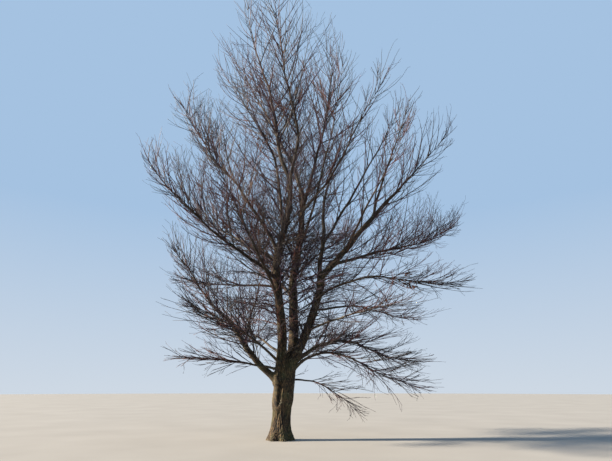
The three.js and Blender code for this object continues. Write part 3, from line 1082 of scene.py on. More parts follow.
@dataclass
class Skin:
    """The bark round one piece of wood, as rings of points round its line.

    centres, sides and others hold one point or direction for each ring, radii one number for each point of
    each ring, and along how far up the wood each ring lies. end_ridge is how high the bark of its two end
    faces stands, from furrow to ridge.
    """

    name: str
    key: int
    centres: np.ndarray
    sides: np.ndarray
    others: np.ndarray
    radii: np.ndarray
    along: np.ndarray
    end_ridge: float = 0.5

    def places(self, radii: np.ndarray) -> np.ndarray:
        """Gives the points of all rings.

        Args:
            radii: How far each lies from the line, ring by ring.

        Returns:
            The points in one row.
        """
        out = spokes(self.sides, self.others, radii.shape[1])
        return (self.centres[:, None] + out * radii[..., None]).reshape(-1, 3)

    def grain(self) -> np.ndarray:
        """Gives places round and along the wood, with its line straightened out.

        Returns:
            One place for each point.
        """
        angles = angles_round(self.radii.shape[1])
        mean = self.radii.mean(1)[:, None]
        along = np.broadcast_to(self.along[:, None], self.radii.shape)
        return np.stack([mean * np.cos(angles), mean * np.sin(angles), along], 2).reshape(-1, 3)

    def build(
        self, relief: BarkRelief, fillet: Fillet, neighbours: Sequence[tuple[Core, float]],
        seams: Sequence[Seam], material: bpy.types.Material,
    ) -> bpy.types.Object:
        """Builds the mesh with its relief and with the hollows towards its neighbours filled.

        Args:
            relief: The bark's relief.
            fillet: How it flows into its neighbours.
            neighbours: Each neighbour, with the radius of the thinner root of the two.
            seams: The grooves that cross it.
            material: The bark.

        Returns:
            The new object, with its grain, ridge and age for each point.
        """
        flat = self.places(self.radii)
        grain = self.grain()
        ridges = relief.ridges(grain, float(self.radii[0].mean()), self.key)
        raised = self.radii.ravel() + relief.rise(ridges, self.radii.ravel())
        for core, radius in neighbours:
            raised += fillet.rise(core.gap(flat), radius)
        for seam in seams:
            raised -= seam.depth_at(flat)
        skin = self.places(raised.reshape(self.radii.shape))
        piece = make_object(self.name, np.vstack([skin, self.centres[[0, -1]]]), self.faces(), [material])
        age = relief.age(np.repeat(self.radii.mean(1), self.radii.shape[1]))
        self.carry(piece, "ridge", np.append(ridges, [self.end_ridge, self.end_ridge]))
        self.carry(piece, "age", np.append(age, age[[0, -1]]))
        self.carry(piece, "grain", np.vstack([grain, grain[[0, -1]]]))
        return piece

    def faces(self) -> list[list[int]]:
        """Gives the faces between the rings, and a fan of them over each end.

        Returns:
            The numbers of the points round each face. The ends' middles come after all the rings.
        """
        rings, count = self.radii.shape
        row = np.arange(count)
        after = (row + 1) % count
        starts = np.arange(rings - 1)[:, None] * count
        quads = np.stack([starts + row, starts + after, starts + count + after, starts + count + row], 2)
        first, last = rings * count, rings * count + 1
        top = (rings - 1) * count
        foot_fan = np.stack([after, row, np.full(count, first)], 1)
        top_fan = np.stack([top + row, top + after, np.full(count, last)], 1)
        return quads.reshape(-1, 4).tolist() + foot_fan.tolist() + top_fan.tolist()

    @staticmethod
    def carry(piece: bpy.types.Object, name: str, values: np.ndarray) -> None:
        """Stores a number or a vector for each point of the mesh, for its material to read.

        Args:
            piece: The piece.
            name: What the material reads them by.
            values: The numbers, or the vectors.
        """
        kind, part = ("FLOAT_VECTOR", "vector") if values.ndim > 1 else ("FLOAT", "value")
        attribute = piece.data.attributes.new(name, kind, "POINT")
        attribute.data.foreach_set(part, values.astype(np.float32).ravel())


@dataclass(frozen=True)
class Trunk:
    """The column from its flat cut at the ground to the crotch, with root ridges and flutes.

    Root ridges and flutes are each given by their number, their depth as a share of the radius and where they
    start round the column.
    """

    height: float = 1780.0
    foot_radius: float = 268.0
    waist_radius: float = 186.0
    crotch_radius: float = 96.0
    crotch_shift: float = 120.0
    shift_power: float = 1.1
    flare_height: float = 190.0
    flare_power: float = 1.4
    narrowing_from: float = 800.0
    root_ridges: tuple[int, float, float] = (6, 0.17, 0.6)
    flutes: tuple[int, float, float] = (5, 0.05, 1.1)
    around: int = 180
    rings: int = 210
    ring_crowding: float = 1.15
    core_points: int = 40
    key: int = 90

    def centres(self, heights: np.ndarray) -> np.ndarray:
        """Gives the column's centre.

        Args:
            heights: Heights in metres.

        Returns:
            One point for each height.
        """
        rise = np.maximum(0.0, heights / MM - self.flare_height) / (self.height - self.flare_height)
        across = self.crotch_shift * MM * rise**self.shift_power
        return np.stack([across, np.zeros_like(heights), heights], 1)

    def radii(self, heights: np.ndarray) -> np.ndarray:
        """Gives the column's mean radius.

        Args:
            heights: Heights in metres.

        Returns:
            One radius for each height, in metres.
        """
        tall = heights / MM
        spread = self.foot_radius - self.waist_radius
        flare = spread * np.exp(-((tall / self.flare_height) ** self.flare_power))
        narrowing = smoothstep(self.narrowing_from, self.height, tall)
        return (self.waist_radius + (self.crotch_radius - self.waist_radius) * narrowing + flare) * MM

    def core(self) -> Core:
        """Gives the column's line and thickness."""
        heights = np.linspace(0.0, self.height * MM, self.core_points)
        return Core(TRUNK, self.centres(heights), self.radii(heights))

    def skin(self) -> Skin:
        """Lays out the column's rings, closer together near the ground.

        Returns:
            The skin.
        """
        shares = np.linspace(0.0, 1.0, self.rings) ** self.ring_crowding
        heights = shares * self.height * MM
        angles = angles_round(self.around)
        count, depth, phase = self.root_ridges
        fading = np.exp(-heights / (self.flare_height * MM))[:, None]
        ridges = depth * np.cos(count * angles + phase)[None] * fading
        count, depth, phase = self.flutes
        ridges = ridges + depth * np.cos(count * angles + phase)[None]
        sides = np.tile([1.0, 0.0, 0.0], (self.rings, 1))
        others = np.tile([0.0, 1.0, 0.0], (self.rings, 1))
        radii = self.radii(heights)[:, None] * (1.0 + ridges)
        return Skin("trunk_bark", self.key, self.centres(heights), sides, others, radii, heights)


@dataclass(frozen=True)
class LimbMeshing:
    """How finely a limb's bark is meshed, and how its two ends run out.

    The root of a limb that goes on from another is sunk into it, a little thinner. The tip of a limb that
    others don't go on from slims to a share of its girth.
    """

    around_mm: float
    along_mm: float
    fewest_round: int
    fewest_rings: int = 12
    crowding: float = 1.25
    sunk_mm: float = 60.0
    sunk_share: float = 0.97
    tip_from: float = 0.35
    tip_share: float = 0.3

    def skin(self, limb: Limb) -> Skin:
        """Lays out the rings of a limb's bark, from inside its parent to its tip.

        Args:
            limb: The limb.

        Returns:
            The skin.
        """
        root = float(limb.radius(0.0))
        around = max(self.fewest_round, round(2 * math.pi * root / (self.around_mm * MM)))
        rings = max(self.fewest_rings, round(limb.length / (self.along_mm * MM)))
        back = self.sunk_mm * MM / limb.length if limb.goes_on else 0.0
        shares = np.linspace(0.0, 1.0, rings) ** self.crowding * (1.0 + back) - back
        centres = limb.curve(shares)
        sides, others = frames_along(tangents_of(centres))
        radii = limb.radius(np.maximum(shares, 0.0))
        if limb.has_twigs:
            radii = radii * (1.0 - (1.0 - self.tip_share) * smoothstep(self.tip_from, 1.0, shares))
        radii = np.where(shares < 0.0, radii * self.sunk_share, radii)
        name = f"{limb.name}_bark"
        rings_radii = np.repeat(radii[:, None], around, 1)
        return Skin(name, limb.key, centres, sides, others, rings_radii, shares * limb.length)


@dataclass
class Wood:
    """Many thin lines of wood of one kind, all with the same number of points.

    limbs holds the number of the limb whose space each line keeps to, reaches the length that its own shoots
    are a share of, fullness the share of them that grow, and sprays the key of the spray that it belongs to.
    """

    points: np.ndarray
    radii: np.ndarray
    keys: np.ndarray
    limbs: np.ndarray
    lifts: np.ndarray
    reaches: np.ndarray
    fullness: np.ndarray
    sprays: np.ndarray

    def at(self, lines: np.ndarray, shares: np.ndarray) -> tuple[np.ndarray, np.ndarray, np.ndarray]:
        """Reads lines at shares of their length.

        Args:
            lines: The number of each line to read.
            shares: Where to read it.

        Returns:
            The points, the directions and the radii there.
        """
        last = self.points.shape[1] - 1
        below, on = step_under(np.clip(shares, 0.0, 1.0) * last, last - 1)
        start, end = self.points[lines, below], self.points[lines, below + 1]
        radii = self.radii[lines, below] * (1 - on) + self.radii[lines, below + 1] * on
        return start + (end - start) * on[:, None], unit(end - start), radii


def joined(parts: Sequence[Wood]) -> Wood:
    """Puts wood with the same number of points into one."""
    names = [row.name for row in fields(Wood)]
    return Wood(*(np.concatenate([getattr(part, name) for part in parts]) for name in names))


@dataclass
class Space:
    """What keeps each mass of twigs to its own room: points along all limbs, and the box of the solids.

    clear_of_wood is how far twigs stay off other limbs. Where a rule lets them come nearer to another limb
    than to their own by more than the widest gap, only the box holds them.
    """

    spots: np.ndarray
    radii: np.ndarray
    owners: np.ndarray
    low: np.ndarray
    high: np.ndarray
    clear_of_wood: float = 15.0
    widest_gap: float = 1500.0
    batch: int = 6000

    def holds(self, places: np.ndarray, limbs: np.ndarray, gap: float) -> np.ndarray:
        """Tells which places are nearer to their own limb than to any other, with a gap.

        Args:
            places: The places.
            limbs: The number of the limb that each belongs to.
            gap: How many millimetres nearer. Below 0, it may be that much further off.

        Returns:
            Whether each place is held.
        """
        inside = np.all((places > self.low) & (places < self.high), axis=1)
        if gap < -self.widest_gap:
            return inside
        clear = np.empty(len(places), bool)
        spots = self.spots.astype(np.float32)
        for start in range(0, len(places), self.batch):
            part = slice(start, start + self.batch)
            here = places[part].astype(np.float32)
            squares = (here**2).sum(1)[:, None] + (spots**2).sum(1)[None] - 2 * here @ spots.T
            gaps = np.sqrt(np.maximum(squares, 0)) - self.radii[None]
            own = self.owners[None] == limbs[part, None]
            nearest = np.where(own, gaps, np.inf).min(1)
            other = np.where(own, np.inf, gaps).min(1)
            clear[part] = other > np.maximum(np.maximum(nearest, 0) + gap * MM, self.clear_of_wood * MM)
        return inside & clear


@dataclass
class Seats:
    """Where shoots leave the wood that carries them, with one row for each shoot.

    line is the number of its parent, number its own on that parent, key its parent's, shifted by the rule,
    and place its share of the parent's length. start, along and radius are the parent's point, direction and
    radius there.
    """

    line: np.ndarray
    number: np.ndarray
    key: np.ndarray
    place: np.ndarray
    start: np.ndarray
    along: np.ndarray
    radius: np.ndarray


@dataclass(frozen=True)
class ShootRule:
    """How thin wood leaves the wood that carries it.

    A shoot starts at a place along its parent, from first to last, at an angle that is rolled round the
    parent by a turn from one shoot to the next, or that keeps to both sides of it, within the flat spread,
    where the rule is flat. level_spread is the share of its lean up or down that it keeps on a level parent.
    Its length is a share, reach, of what its parent can give, less towards the parent's end by the fading,
    and it turns up by its parent's lift times its own.

    spacing sets how many there are by the parent's length, and count is how many where spacing is 0.
    crowding above 1 crowds them towards the parent's foot. fullness is the share of them that grow, in even
    steps from the ground to the top, and where it is empty they all do. A shoot stops where it would come
    nearer to another limb than to its own by the gap. A bud ends it, over the last share of its length.

    The thinnest are drawn two to three times as thick as real ones, so that they show from a few steps away.
    """

    kind: Kind
    points: int
    sides: int
    steps: int = 2
    angle: float = 44.0
    angle_spread: float = 14.0
    flat: bool = False
    flat_spread: float = 20.0
    turn: float = 137.5
    turn_spread: float = 0.0
    reach: float = 0.34
    longest: float = 5000.0
    shortest: float = 0.0
    spacing: float = 0.0
    count: int = 10
    first: float = 0.05
    last: float = 0.93
    place_spread: float = 0.3
    crowding: float = 1.0
    length_spread: float = 0.22
    fading: float = 0.5
    upper_side_gain: float = 0.2
    lift: float = 0.4
    sway: float = 0.12
    girth_share: float = 0.62
    tip_radius: float = 2.6
    thickness_by_length: float = 0.0062
    fewest_steps: int = 1
    gap: float = 30.0
    bud_share: float = 0.0
    bud_radius: float = 0.0
    level_spread: float = 1.0
    fullness: tuple[float, ...] = ()
    key_shift: int = 0

    def ring_places(self) -> np.ndarray:
        """Gives the shares of a shoot's length where its rings lie, and its tip's.

        Returns:
            The shares, from 0 to 1.
        """
        if not self.bud_share:
            return np.linspace(0.0, 1.0, self.points)
        return np.append(np.linspace(0.0, 1.0 - self.bud_share, self.points - 1), 1.0)

    def seats(self, parents: Wood) -> Seats:
        """Lays out where the shoots start.

        Args:
            parents: The wood that carries them.

        Returns:
            One seat for each shoot.
        """
        counts = np.full(len(parents.keys), self.count)
        if self.spacing:
            room = lengths_of(parents.points) * (self.last - self.first)
            counts = np.round(room / (self.spacing * MM)).astype(int)
        line = np.repeat(np.arange(len(counts)), counts)
        number = np.arange(len(line)) - np.repeat(np.cumsum(counts) - counts, counts)
        key = parents.keys[line] + self.key_shift
        turn = number + 0.5 + self.place_spread * sway(key, Use.PLACE.value + number)
        place = self.first + (self.last - self.first) * (turn / counts[line]) ** self.crowding
        return Seats(line, number, key, place, *parents.at(line, place))

    def directions(self, seats: Seats) -> tuple[np.ndarray, np.ndarray]:
        """Gives the directions in which shoots leave their parents.

        Args:
            seats: Where they start.

        Returns:
            The directions, and how far round the parent each is rolled.
        """
        along, key, number = seats.along, seats.key, seats.number
        side = unit(np.cross(along, UP))
        over = np.cross(side, along)
        if self.flat:
            turned = 180.0 * number + self.flat_spread * sway(key, Use.ROLL.value)
        else:
            turned = 360.0 * chance(key, Use.ROLL.value) + self.turn * number
        roll = np.radians(turned + self.turn_spread * sway(key, Use.TURN.value + number))
        lean = np.radians(self.angle + self.angle_spread * sway(key, Use.LEAN.value + number))[:, None]
        spread = self.level_spread + (1.0 - self.level_spread) * np.abs(along[:, 2])
        across = side * np.cos(roll)[:, None] + over * (spread * np.sin(roll))[:, None]
        return along * np.cos(lean) + across * np.sin(lean), roll

    def lengths(self, seats: Seats, reaches: np.ndarray, roll: np.ndarray) -> np.ndarray:
        """Gives the length that each shoot would have with nothing in its way.

        Args:
            seats: Where they start.
            reaches: What each shoot's length is a share of.
            roll: How far round the parent each is rolled.

        Returns:
            The lengths, in metres.
        """
        upper_gain = 1.0 + self.upper_side_gain * np.sin(roll)
        shape = np.maximum(0.0, 1.0 - seats.place) ** self.fading * upper_gain
        spread = 1.0 + self.length_spread * sway(seats.key, Use.LENGTH.value + seats.number)
        length = self.reach * reaches * shape * spread
        return np.clip(length, self.shortest * MM * spread, self.longest * MM * spread)

    def growing(self, seats: Seats, fullness: np.ndarray, top: float) -> np.ndarray:
        """Tells which shoots grow at all.

        Args:
            seats: Where they start.
            fullness: The share of shoots that each one's limb lets grow.
            top: How high the crown reaches.

        Returns:
            Whether each of them grows.
        """
        if not self.fullness:
            return np.ones(len(seats.line), bool)
        share = fullness * value_along(self.fullness, seats.start[:, 2] / top)
        return chance(seats.key, Use.GROWS.value + seats.number) < share

    def paths(self, seats: Seats, parents: Wood, space: Space) -> tuple[np.ndarray, np.ndarray]:
        """Steps the shoots out from their seats, each of them until it leaves its space.

        Args:
            seats: Where they start.
            parents: The wood that carries them.
            space: What they keep to.

        Returns:
            The points of each shoot's steps, and how many of the steps it could take.
        """
        direction, roll = self.directions(seats)
        stride = (self.lengths(seats, parents.reaches[seats.line], roll) / self.steps)[:, None]
        growing = self.growing(seats, parents.fullness[seats.line], space.high[2])
        points = [seats.start]
        taken = np.zeros(len(seats.line), int)
        for step in range(self.steps):
            use = self.steps * seats.number + step
            direction[:, 0] += self.sway * sway(seats.key, Use.BEND_X.value + use)
            direction[:, 1] += self.sway * sway(seats.key, Use.BEND_Y.value + use)
            direction[:, 2] += self.lift * parents.lifts[seats.line]
            direction = unit(direction)
            ahead = points[-1] + direction * stride
            growing &= space.holds(ahead, parents.limbs[seats.line], self.gap)
            taken += growing
            points.append(ahead)
        return np.stack(points, 1), taken

    def girths(self, carriers: np.ndarray, lengths: np.ndarray, shares: np.ndarray) -> np.ndarray:
        """Gives the radii of shoots, which taper evenly from root to tip, and swell at a bud.

        Args:
            carriers: The radius of each shoot's parent where it starts.
            lengths: How long each of them is.
            shares: Where their rings lie, and their tips.

        Returns:
            One radius for each ring of each shoot, and for its tip.
        """
        thickest = self.tip_radius * MM + self.thickness_by_length * lengths
        root = np.minimum(self.girth_share * carriers, thickest)[:, None]
        radii = root * (1.0 - shares) + np.minimum(self.tip_radius * MM, root) * shares
        if self.bud_share:
            radii[:, -2] = self.bud_radius * MM
        return radii

    def grow(self, parents: Wood, space: Space) -> Wood:
        """Grows the shoots on the wood that carries them.

        Args:
            parents: The wood that carries them.
            space: What they keep to.

        Returns:
            The shoots. One that can't take its fewest steps in its space is left out.
        """
        seats = self.seats(parents)
        points, taken = self.paths(seats, parents, space)
        kept = taken >= self.fewest_steps
        shares = self.ring_places()
        curves = resampled(points[kept], taken[kept], shares)
        lengths = lengths_of(curves)
        radii = self.girths(seats.radius[kept], lengths, shares)
        keys = (seats.key * CHILD_KEY_STEP + seats.number + CHILD_KEY_START)[kept] % 2**32
        line = seats.line[kept]
        sprays = keys if self.kind is Kind.SHOOT else parents.sprays[line]
        limbs, lifts, fullness = parents.limbs[line], parents.lifts[line], parents.fullness[line]
        return Wood(curves, radii, keys, limbs, lifts, lengths, fullness, sprays)


# The shoots of the solids, more of them between and below that come closer to their neighbours, long bare
# whips at the limbs' ends, level limblets that arch out from the lower stems, and sprigs round the crotch
SHOOT_RULE = ShootRule(Kind.SHOOT, points=11, sides=5, fewest_steps=2)
SIDE_SHOOT_RULE = replace(
    SHOOT_RULE, steps=5, spacing=105, crowding=1.15, reach=0.42, longest=2300, gap=-900, angle=42,
    angle_spread=14, level_spread=0.5, lift=0.34, sway=0.18, tip_radius=3.0, thickness_by_length=0.007,
    fewest_steps=1, key_shift=1000, fullness=CROWN_FULLNESS,
)
INNER_SHOOT_RULE = replace(
    SIDE_SHOOT_RULE, spacing=85, crowding=1.0, reach=0.36, longest=2000, first=0.0, last=1.0, fading=0.0,
    angle=48, length_spread=0.5, key_shift=2000,
)
WHIP_RULE = replace(
    SIDE_SHOOT_RULE, spacing=0, count=6, crowding=1.0, first=0.4, last=0.98, reach=0.33, fading=0.25,
    angle=24, angle_spread=12, key_shift=3000, fullness=(),
)
LIMBLET_RULE = replace(
    INNER_SHOOT_RULE, steps=5, spacing=105, reach=0.5, longest=2500, gap=-1400, angle=60, angle_spread=10,
    lift=1.0, sway=0.1, length_spread=0.3, thickness_by_length=0.0068, key_shift=4000,
)
SPRIG_RULE = replace(
    INNER_SHOOT_RULE, steps=3, spacing=60, reach=0.12, longest=520, gap=-1400, angle=58, sway=0.2,
    tip_radius=2.4, thickness_by_length=0.005, key_shift=5000,
)
BRANCHLET_RULE = ShootRule(
    Kind.BRANCHLET, points=7, sides=3, steps=4, angle=34, angle_spread=14, flat=True, turn_spread=60,
    level_spread=0.3, reach=0.65, longest=1150, shortest=200, spacing=185, last=0.94, place_spread=0.45,
    lift=0.3, sway=0.22, tip_radius=3.0, thickness_by_length=0.0075, gap=-1400, bud_share=0.04,
    bud_radius=3.4, fullness=CROWN_FULLNESS,
)
TWIG_RULE = ShootRule(
    Kind.TWIG, points=4, sides=3, steps=3, angle=37, angle_spread=16, flat=True, turn_spread=60,
    level_spread=0.3, reach=0.6, longest=500, shortest=110, spacing=230, first=0.1, last=1.0,
    place_spread=0.45, lift=0.15, sway=0.24, tip_radius=2.4, thickness_by_length=0.0055, gap=-2000,
    girth_share=0.8, bud_share=0.08, bud_radius=2.8, fullness=CROWN_FULLNESS,
)


@dataclass
class ThinWood:
    """The thin wood of one kind, built as closed tubes that end in a point."""

    kind: Kind
    wood: Wood
    sides: int
    most_triangles: int = 190000

    @property
    def rings(self) -> int:
        """How many rings each line has before its tip."""
        return self.wood.points.shape[1] - 1

    def triangles_each(self) -> int:
        """Counts the triangles of one line: its rings, its pointed end and its root."""
        return (self.rings - 1) * self.sides * 2 + self.sides + self.sides - 2

    def build(self, tints: Sequence[bpy.types.Material], nodes: Sequence[str]) -> None:
        """Builds the pieces, each with as many lines as keep it small enough.

        Args:
            tints: The materials, dealt out by spray.
            nodes: The solids that the pieces replace.
        """
        pieces = math.ceil(len(self.wood.keys) * self.triangles_each() / self.most_triangles)
        order = np.argsort(self.wood.points[:, 0, 0], kind="stable")
        for number, lines in enumerate(np.array_split(order, pieces), 1):
            name = self.kind.value if pieces == 1 else f"{self.kind.value}_{number}"
            faces = self.faces(len(lines))
            piece = make_object(name, self.tubes(lines), faces, tints)
            tint = (chance(self.wood.sprays[lines], Use.TINT.value) * len(tints)).astype(np.int32)
            faces_each = len(faces) // len(lines)
            piece.data.polygons.foreach_set("material_index", np.repeat(tint, faces_each))
            hand_over(piece, Slot.TWIGS, nodes)

    def tubes(self, lines: np.ndarray) -> np.ndarray:
        """Works out the points of the tubes of some of the lines.

        Args:
            lines: The numbers of the lines.

        Returns:
            The points, line by line: its rings, and then its tip.
        """
        points, radii = self.wood.points[lines], self.wood.radii[lines]
        sides, others = (across[:, : self.rings] for across in frames_along(tangents_of(points)))
        out = spokes(sides, others, self.sides) * radii[:, : self.rings, None, None]
        skin = points[:, : self.rings, None] + out
        return np.concatenate([skin.reshape(len(lines), -1, 3), points[:, -1:]], 1).reshape(-1, 3)

    def faces(self, count: int) -> list[list[int]]:
        """Gives the faces of tubes.

        Args:
            count: How many tubes there are.

        Returns:
            The numbers of the points round each face, tube by tube.
        """
        row = np.arange(self.sides)
        after = (row + 1) % self.sides
        tip = self.rings * self.sides
        pattern: list[np.ndarray] = []
        for low in range(0, tip - self.sides, self.sides):
            high = low + self.sides
            pattern += list(np.stack([low + row, low + after, high + after, high + row], 1))
        low = tip - self.sides
        pattern += list(np.stack([low + row, low + after, np.full(self.sides, tip)], 1))
        pattern.append(row[::-1])
        starts = np.arange(count)[:, None] * (tip + 1)
        faces: list[list[int]] = []
        for tube in zip(*((face + starts).tolist() for face in pattern)):
            faces.extend(tube)
        return faces


@dataclass
class Framework:
    """Where every limb of the tree runs, from its trunk up, and which of them join.

    cores holds the line of each limb and of the trunk, by name.
    """

    trunk: Trunk = Trunk()
    core_spacing: float = 80.0
    fewest_core_points: int = 12
    limbs: dict[str, Limb] = field(init=False)
    cores: dict[str, Core] = field(init=False)

    def __post_init__(self) -> None:
        """Places every limb."""
        self.limbs = {}
        for key, spec in enumerate((*STEMS, *BOUGHS), 1):
            self.limbs[spec.name] = Limb(spec, key, self.limbs.get(spec.parent))
        self.cores = {TRUNK: self.trunk.core()}
        for limb in self.limbs.values():
            count = max(self.fewest_core_points, round(limb.length / (self.core_spacing * MM)))
            shares = np.linspace(0.0, 1.0, count)
            self.cores[limb.name] = Core(limb.name, limb.curve(shares), limb.radius(shares))

    @property
    def stems(self) -> list[Limb]:
        """The stems."""
        return [limb for limb in self.limbs.values() if limb.parent is None]

    @property
    def boughs(self) -> list[Limb]:
        """The limbs that aren't stems."""
        return [limb for limb in self.limbs.values() if limb.parent is not None]

    @property
    def carriers(self) -> list[Limb]:
        """The limbs that end in a mass of twigs."""
        return [limb for limb in self.limbs.values() if limb.has_twigs]

    def neighbours(self, name: str, reach: float) -> list[tuple[Core, float]]:
        """Lists what a limb or the trunk flows into.

        Args:
            name: The limb's name, or the trunk's.
            reach: How close a neighbour comes.

        Returns:
            The core of each neighbour, with the radius of the thinner root of the two.
        """
        found = []
        here = self.cores[name]
        for other in self.cores.values():
            if other.name == name or not here.near(other, reach):
                continue
            if self.meet(name, other.name):
                found.append((other, min(self.root_radius(name), self.root_radius(other.name))))
        return found

    def root_radius(self, name: str) -> float:
        """The radius that a limb has past its collar, or the trunk at its waist."""
        return self.limbs[name].root_radius if name in self.limbs else self.trunk.waist_radius * MM

    def meet(self, name: str, other: str) -> bool:
        """Tells whether two of them join: a limb and what it leaves sideways, two stems, or what leaves low.

        Args:
            name: The name of a limb, or the trunk's.
            other: Another.

        Returns:
            Whether they join.
        """
        limbs = (self.limbs.get(name), self.limbs.get(other))
        if None in limbs:
            limb = limbs[0] or limbs[1]
            return limb.points[0][2] < self.trunk.height * MM
        one, two = limbs
        if one.parent is None and two.parent is None:
            return True
        return (one.parent is two and not one.goes_on) or (two.parent is one and not two.goes_on)


@dataclass
class BarkCover:
    """The bark of the trunk, the stems and the boughs."""

    frame: Framework
    finish: RidgedBark = RidgedBark()
    relief: BarkRelief = BarkRelief()
    fillet: Fillet = Fillet()
    seams: tuple[Seam, ...] = (
        Seam(across=(-40.0, 60.0), face=Face.FRONT, depth=64.0),
        Seam(across=(-20.0, -15.0), face=Face.BACK, depth=40.0),
    )
    on_stems: LimbMeshing = LimbMeshing(around_mm=10, along_mm=19, fewest_round=24, crowding=1.0)
    on_boughs: LimbMeshing = LimbMeshing(around_mm=13, along_mm=38, fewest_round=8)

    def build(self) -> None:
        """Builds one piece for the trunk and one for each limb."""
        bark = self.finish.material()
        for name, skin, seams, slot, nodes in self.layout():
            around = self.frame.neighbours(name, self.fillet.widest * MM)
            hand_over(skin.build(self.relief, self.fillet, around, seams, bark), slot, nodes)

    def layout(self) -> Iterator[tuple[str, Skin, Sequence[Seam], Slot, list[str]]]:
        """Lays out the pieces, the trunk's first.

        Returns:
            What each covers, its rings, the grooves that cross it, its material slot and what it replaces.
        """
        yield TRUNK, self.frame.trunk.skin(), self.seams, Slot.TRUNK_BARK, [TRUNK]
        for limb in self.frame.stems:
            yield limb.name, self.on_stems.skin(limb), self.seams, Slot.STEM_BARK, [limb.name]
        for limb in self.frame.boughs:
            nodes = [limb.name] if limb.has_bough else []
            nodes += [limb.mass] if limb.has_twigs else []
            yield limb.name, self.on_boughs.skin(limb), (), Slot.BOUGH_BARK, nodes


@dataclass
class Crown:
    """The masses of twigs: the shoots, the branchlets and the twigs that grow on from the limbs.

    inner_from is where shoots begin on a bough's bare part, and free_from where they begin on a stem, as
    shares of their length. limblets and sprigs are the stretches of the stems, from their feet, that carry
    those. The lifts are how far the shoots on a stem turn up, and those on its lower stretches.
    """

    frame: Framework
    low: Vector
    high: Vector
    spot_spacing: float = 60.0
    stretch_points: int = 40
    inner_from: float = 0.12
    free_from: float = 0.45
    limblets: tuple[float, float] = (1400.0, 4200.0)
    sprigs: tuple[float, float] = (650.0, 2000.0)
    stem_lift: float = 0.4
    level_lift: float = -0.09

    def space(self) -> Space:
        """Lays out the room of each mass of twigs.

        Returns:
            The space.
        """
        spots, radii, owners = [], [], []
        for limb in self.frame.limbs.values():
            count = math.ceil(limb.length / (self.spot_spacing * MM))
            shares = np.arange(count + 1) / count
            spots.append(value_along(limb.points, shares))
            radii.append(limb.radius(shares))
            owners.append(np.full(count + 1, limb.key))
        rows = (np.concatenate(parts) for parts in (spots, radii, owners))
        return Space(*rows, np.array(self.low), np.array(self.high))

    def stretches(
        self, limbs: Sequence[Limb], starts: Sequence[float], ends: Sequence[float], stem_lift: float
    ) -> Wood:
        """Gives parts of limbs as wood that can carry shoots.

        Args:
            limbs: The limbs.
            starts: The share of its length where each part starts.
            ends: The share where it ends.
            stem_lift: How far the shoots on a stem turn up.

        Returns:
            The parts.
        """
        points, radii, reaches = [], [], []
        for limb, start, end in zip(limbs, starts, ends):
            shares = np.linspace(start, end, self.stretch_points)
            points.append(limb.curve(shares))
            radii.append(limb.radius(shares))
            reaches.append(limb.length * (1 - SHORTER_PAST_BOUGH * start))
        keys = np.array([limb.key for limb in limbs])
        lifts = np.array([limb.spec.lift if limb.parent else stem_lift for limb in limbs])
        fullness = np.array([limb.spec.fullness for limb in limbs])
        return Wood(np.stack(points), np.stack(radii), keys, keys, lifts, np.array(reaches), fullness, keys)

    def carrying_wood(self) -> Wood:
        """Gives the part of each limb that carries the twigs of its mass."""
        limbs = self.frame.carriers
        return self.stretches(limbs, [limb.first_twig for limb in limbs], [1.0] * len(limbs), self.stem_lift)

    def inner_wood(self) -> Wood:
        """Gives the bare parts of the boughs and the free parts of the stems.

        Returns:
            The parts.
        """
        limbs = [limb for limb in self.frame.limbs.values() if limb.has_bough]
        starts = [self.inner_from if limb.parent else self.free_from for limb in limbs]
        ends = [max(limb.spec.bare, start) for limb, start in zip(limbs, starts)]
        return self.stretches(limbs, starts, ends, self.stem_lift)

    def lower_stems(self, stretch: tuple[float, float]) -> Wood:
        """Gives the parts of the stems whose shoots arch out level.

        Args:
            stretch: How far from the stems' feet they start and end.

        Returns:
            The parts.
        """
        stems = self.frame.stems
        starts = [stretch[0] * MM / stem.length for stem in stems]
        ends = [min(1.0, stretch[1] * MM / stem.length) for stem in stems]
        return self.stretches(stems, starts, ends, self.level_lift)

    def build(self) -> Wood:
        """Grows and builds the shoots, the branchlets and the twigs.

        Returns:
            The twigs.
        """
        space = self.space()
        carrying, inner = self.carrying_wood(), self.inner_wood()
        shoots = joined([
            SHOOT_RULE.grow(carrying, space),
            SIDE_SHOOT_RULE.grow(carrying, space),
            INNER_SHOOT_RULE.grow(inner, space),
            LIMBLET_RULE.grow(self.lower_stems(self.limblets), space),
            SPRIG_RULE.grow(self.lower_stems(self.sprigs), space),
        ])
        branchlets = joined([BRANCHLET_RULE.grow(wood, space) for wood in (carrying, shoots)])
        shoots = joined([shoots, WHIP_RULE.grow(carrying, space)])
        twigs = joined([TWIG_RULE.grow(wood, space) for wood in (carrying, shoots, branchlets)])
        tints = [TwigBark(tint).material() for tint in TwigTint]
        masses = [limb.mass for limb in self.frame.carriers]
        for rule, wood in ((SHOOT_RULE, shoots), (BRANCHLET_RULE, branchlets), (TWIG_RULE, twigs)):
            ThinWood(rule.kind, wood, rule.sides).build(tints, masses)
        return twigs


